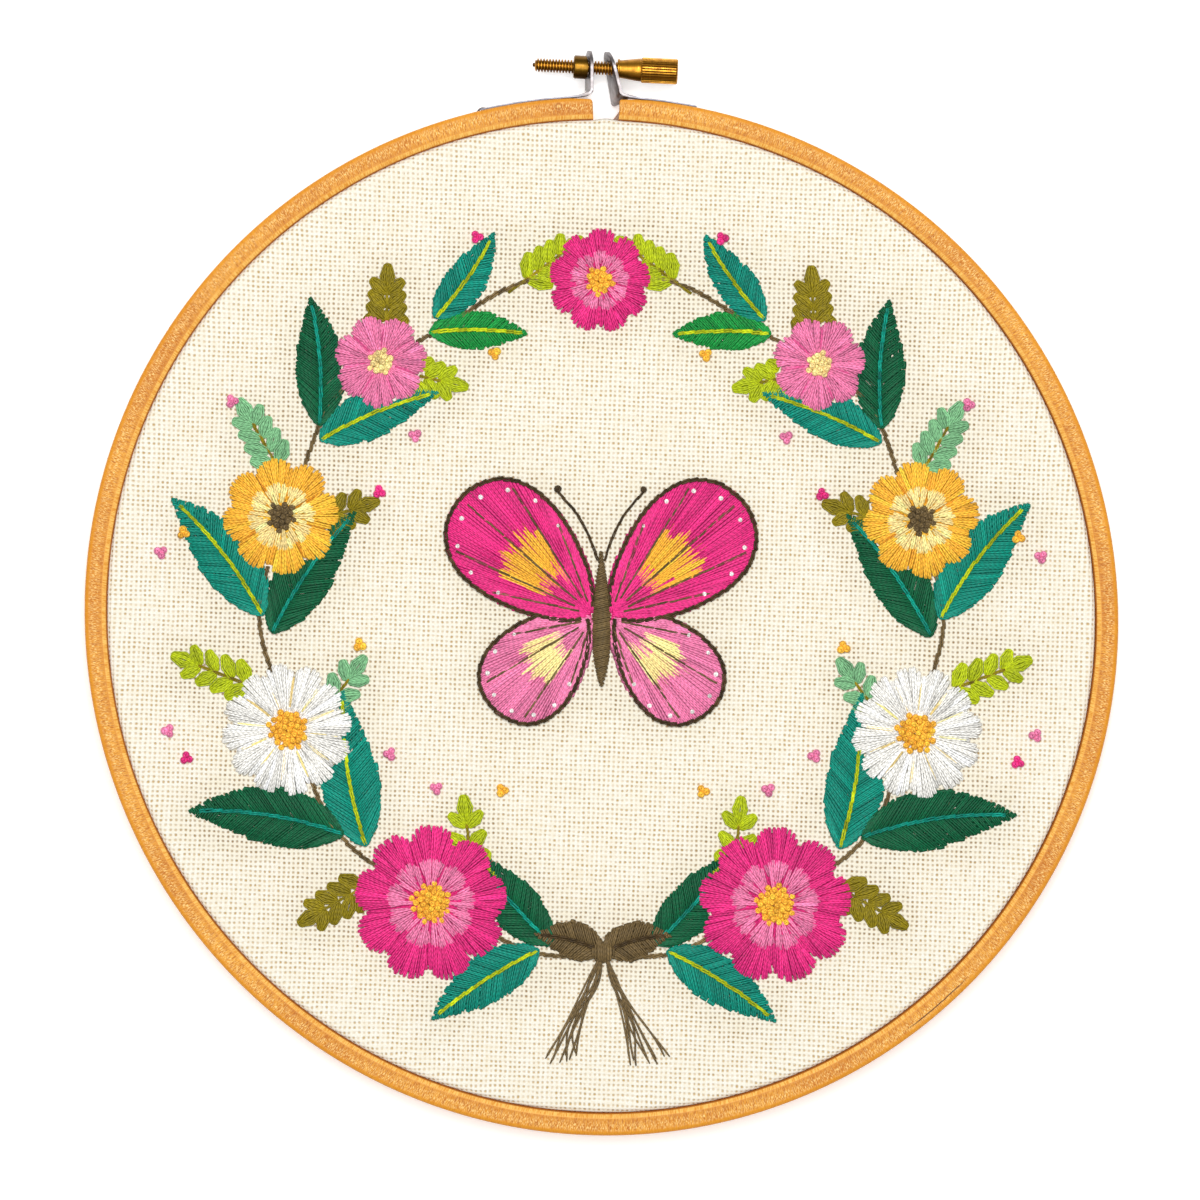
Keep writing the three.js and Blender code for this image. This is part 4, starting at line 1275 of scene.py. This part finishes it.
def wing_lines(book, wing, mirror):
    """The wing's dark edge and its veins."""
    line = wing_edge(wing, np.linspace(-math.pi * 0.93, math.pi * 0.93, 200), grow=1.03)
    if wing is LOWER:
        seen = ~in_upper_wing(line)
        first = np.argmax(seen)
        line = line[first:first + np.argmin(np.append(seen[first:], False))]
    form = {"rest": 0.4, "rise": 0.12, "width": 0.85}
    stem_stitch(book, line * mirror, "dark", step=1.8, reach=2.4, lean=0.16, **form)
    form = {"rest": 0.44, "rise": 0.08, "width": 0.42}
    for fan in np.linspace(-0.62, 0.62, wing.veins):
        tip = wing_edge(wing, fan * math.pi * 0.8, grow=0.93)
        vein = np.array([wing.root + (tip - wing.root) * 0.12, tip])
        stem_stitch(book, vein * mirror, "brown", step=2.6, reach=3.1, lean=0.05, **form)


wings = Stitches(seed=83)
wing_dots = []
for half in HALVES:
    mirror = np.array([half, 1.0])
    for wing in (UPPER, LOWER):
        wing_stitches(wings, wing, mirror)
        wing_lines(wings, wing, mirror)
        for fan in np.linspace(-0.52, 0.52, 8):
            x, y = wing_edge(wing, fan * math.pi, grow=0.88) * mirror
            wing_dots.append((x, y, 0.22, 0.82, "white"))
    feeler = on_path(np.linspace(0, 1, 20), np.linspace(0, 1, 4), FEELER) * mirror
    form = {"rest": 0.02, "rise": 0.1, "width": 0.55}
    stem_stitch(wings, feeler, "dark", step=1.7, reach=2.7, lean=0.05, **form)
    x, y = FEELER[-1] * mirror
    wing_dots.append((x, y + 0.5, 0.05, 1.15, "dark"))
share = (np.arange(BODY["stitches"]) + 0.5) / BODY["stitches"]
half_width = leaf_half_width(BODY["width"], share)
height = BODY["tail"] + BODY["length"] * share
left = side_by_side(-half_width, height - BODY["slope"])
right = side_by_side(half_width, height + BODY["slope"])
wings.add(left, right, "brown", rest=0.25, rise=0.42, width=0.85)
wing_work = wings.make("butterfly_stitches")
dot_work = knots_piece("butterfly_dots", 97, wing_dots)

# ---- Bow ----
# Two satin loops and a knot where the wreath's ends meet, with the ends of the thread left
# loose and hanging down the cloth.

BOW_LOOP = {"heading": 14, "length": 15, "width": 8, "bend": -28}
BOW_KNOT = 2.4
TAILS = {"count": 5, "steps": 26, "foot": -92, "spread": 7, "lean": 9, "radius": 0.2, "sides": 6}

bow = Stitches(seed=101)
for half in HALVES:
    base = np.array([0.0, -WREATH])
    dyes = {"dye": "brown", "rib": "dark"}
    leaf_stitches(bow, base, **BOW_LOOP, **dyes, half=half, step=0.8, raised=0.34)
across = np.linspace(-BOW_KNOT * 0.85, BOW_KNOT * 0.85, 7)
tall = np.sqrt(np.maximum(BOW_KNOT**2 - across**2, 0.4))
foot, head = (side_by_side(across, -WREATH + part) for part in (-tall, tall))
bow.add(foot, head, "brown", rest=0.72, rise=0.3, width=0.85)
bow_work = bow.make("bow_stitches")


def loose_threads(name, seed, paths, dye):
    """Round threads that lie along paths of points in millimetres."""
    chance = np.random.default_rng(seed)
    paths = np.array(paths)
    count, steps = paths.shape[:2]
    way = np.gradient(paths[..., :2], axis=1)
    way /= np.maximum(np.hypot(way[..., 0], way[..., 1]), 1e-6)[..., None]
    around = math.tau * np.arange(TAILS["sides"]) / TAILS["sides"]
    thick = TAILS["radius"] * np.interp(np.arange(steps), [0, steps - 2, steps - 1], [1, 1, 0.6])
    thick = thick[:, None]
    points = np.empty((count, steps, TAILS["sides"], 3))
    aside = square_to(way)[:, :, None] * (thick * np.cos(around))[..., None]
    points[..., :2] = paths[:, :, None, :2] + aside
    points[..., 2] = paths[:, :, None, 2] + thick * np.sin(around)
    dyes = dye_lot([dye], count, 0.12, chance)[:, None, None]
    return cotton_piece(name, points, dyes, (np.arange(steps) * 0.8)[:, None], chance)


chance = np.random.default_rng(107)
share = np.linspace(0, 1, TAILS["steps"])
tails = []
for half in HALVES:
    for number in range(TAILS["count"]):
        fan = number / (TAILS["count"] - 1)
        for strand in range(2):
            foot_x = TAILS["lean"] + TAILS["spread"] * (fan - 0.5) + chance.normal(0, 0.25)
            foot = TAILS["foot"] + chance.normal(0, 0.8)
            wave = chance.normal(0, 0.5) * np.sin(share * math.pi * chance.uniform(1.2, 2.4))
            sway = 1.3 * np.sin(share * math.pi) * (0.5 - fan)
            x = half * (0.4 + strand * 0.35 + (foot_x - 0.4) * share + sway) + wave
            y = -WREATH - 1.0 + (foot + WREATH + 1.0) * share
            z = CLOTH_FRONT + 0.2 + 0.3 * np.exp(-share * 9)
            tails.append(side_by_side(x, y, z + 0.14 * (number % 2) + 0.05 * strand))
tail_work = loose_threads("loose_thread_tails", 109, tails, "brown")

STRAIN = {"reach": 5.0, "full": 2.3, "sample": 3, "long_stitch": 5, "batch": 1000}


def cloth_strain_and_shade():
    """How much close stitches near each point draw the cloth's holes open and shade it, 0 to 1."""
    rows = np.concatenate([row for book in Stitches.books for row in book.rows])
    rows = rows[::STRAIN["sample"]].astype(np.float32)
    middles = (rows[:, START] + rows[:, END]) / 2
    lengths = np.hypot(*(rows[:, END] - rows[:, START]).T)
    weights = np.clip(lengths / STRAIN["long_stitch"], 0, 1)
    points = points_of(cloth).astype(np.float32)[:, None, :2]
    strain_and_shade = []
    for first in range(0, len(points), STRAIN["batch"]):
        part = points[first:first + STRAIN["batch"]] - middles
        near = np.exp(-(part**2).sum(axis=2) / STRAIN["reach"] ** 2)
        strain_and_shade.append((near * weights).sum(axis=1))
    return np.clip(np.concatenate(strain_and_shade) / STRAIN["full"], 0, 1)


give(cloth, "strain_and_shade", cloth_strain_and_shade())

# ---- Table, light and camera ----
# The hoop lies on its back on a white table under two wide soft lamps, seen from straight above.

TABLE_REACH = 3000.0
TABLE_DROP = 0.15
WHITE = (1.0, 1.0, 1.0, 1.0)
VIEW_MIDDLE = (-0.0003, -0.0015)
VIEW_WIDTH = 0.2506
LENS = 600.0
SENSOR = 36.0

table_finish = Finish(
    "white_laminate", Roughness=0.7, Base_Color=(0.98, 0.98, 0.98, 1.0), Emission_Color=WHITE,
    Emission_Strength=0.3,
)
corners = np.array([(-1, -1, 0), (1, -1, 0), (1, 1, 0), (-1, 1, 0)]) * TABLE_REACH
table_top = make_piece("table_top", corners - (0, 0, TABLE_DROP), np.array([[0, 1, 2, 3]]))
table_top.data.materials.append(table_finish.material)


def soft_lamp(name, place, size, power):
    light = bpy.data.lights.new(name, "AREA")
    light.shape = "SQUARE"
    light.size = size
    light.energy = power
    lamp = bpy.data.objects.new(name, light)
    lamp.location = place
    lamp.rotation_euler = (-Vector(place)).to_track_quat("-Z", "Y").to_euler()
    bpy.context.scene.collection.objects.link(lamp)


soft_lamp("overhead_lamp", (-0.02, 0.14, 1.5), 1.2, 23.0)
soft_lamp("crisp_lamp", (0.1, 0.6, 1.3), 0.24, 3.6)

sky = bpy.data.worlds.new("dim_room")
sky.use_nodes = True
sky.node_tree.nodes["Background"].inputs["Color"].default_value = WHITE
sky.node_tree.nodes["Background"].inputs["Strength"].default_value = 0.25
bpy.context.scene.world = sky
bpy.context.scene.view_settings.view_transform = "Standard"

camera_data = bpy.data.cameras.new("overhead_camera")
camera_data.lens = LENS
camera_data.sensor_width = SENSOR
camera = bpy.data.objects.new("overhead_camera", camera_data)
camera.location = (*VIEW_MIDDLE, OUTER_DEPTH * MM + VIEW_WIDTH * LENS / SENSOR)
bpy.context.scene.collection.objects.link(camera)
bpy.context.scene.camera = camera
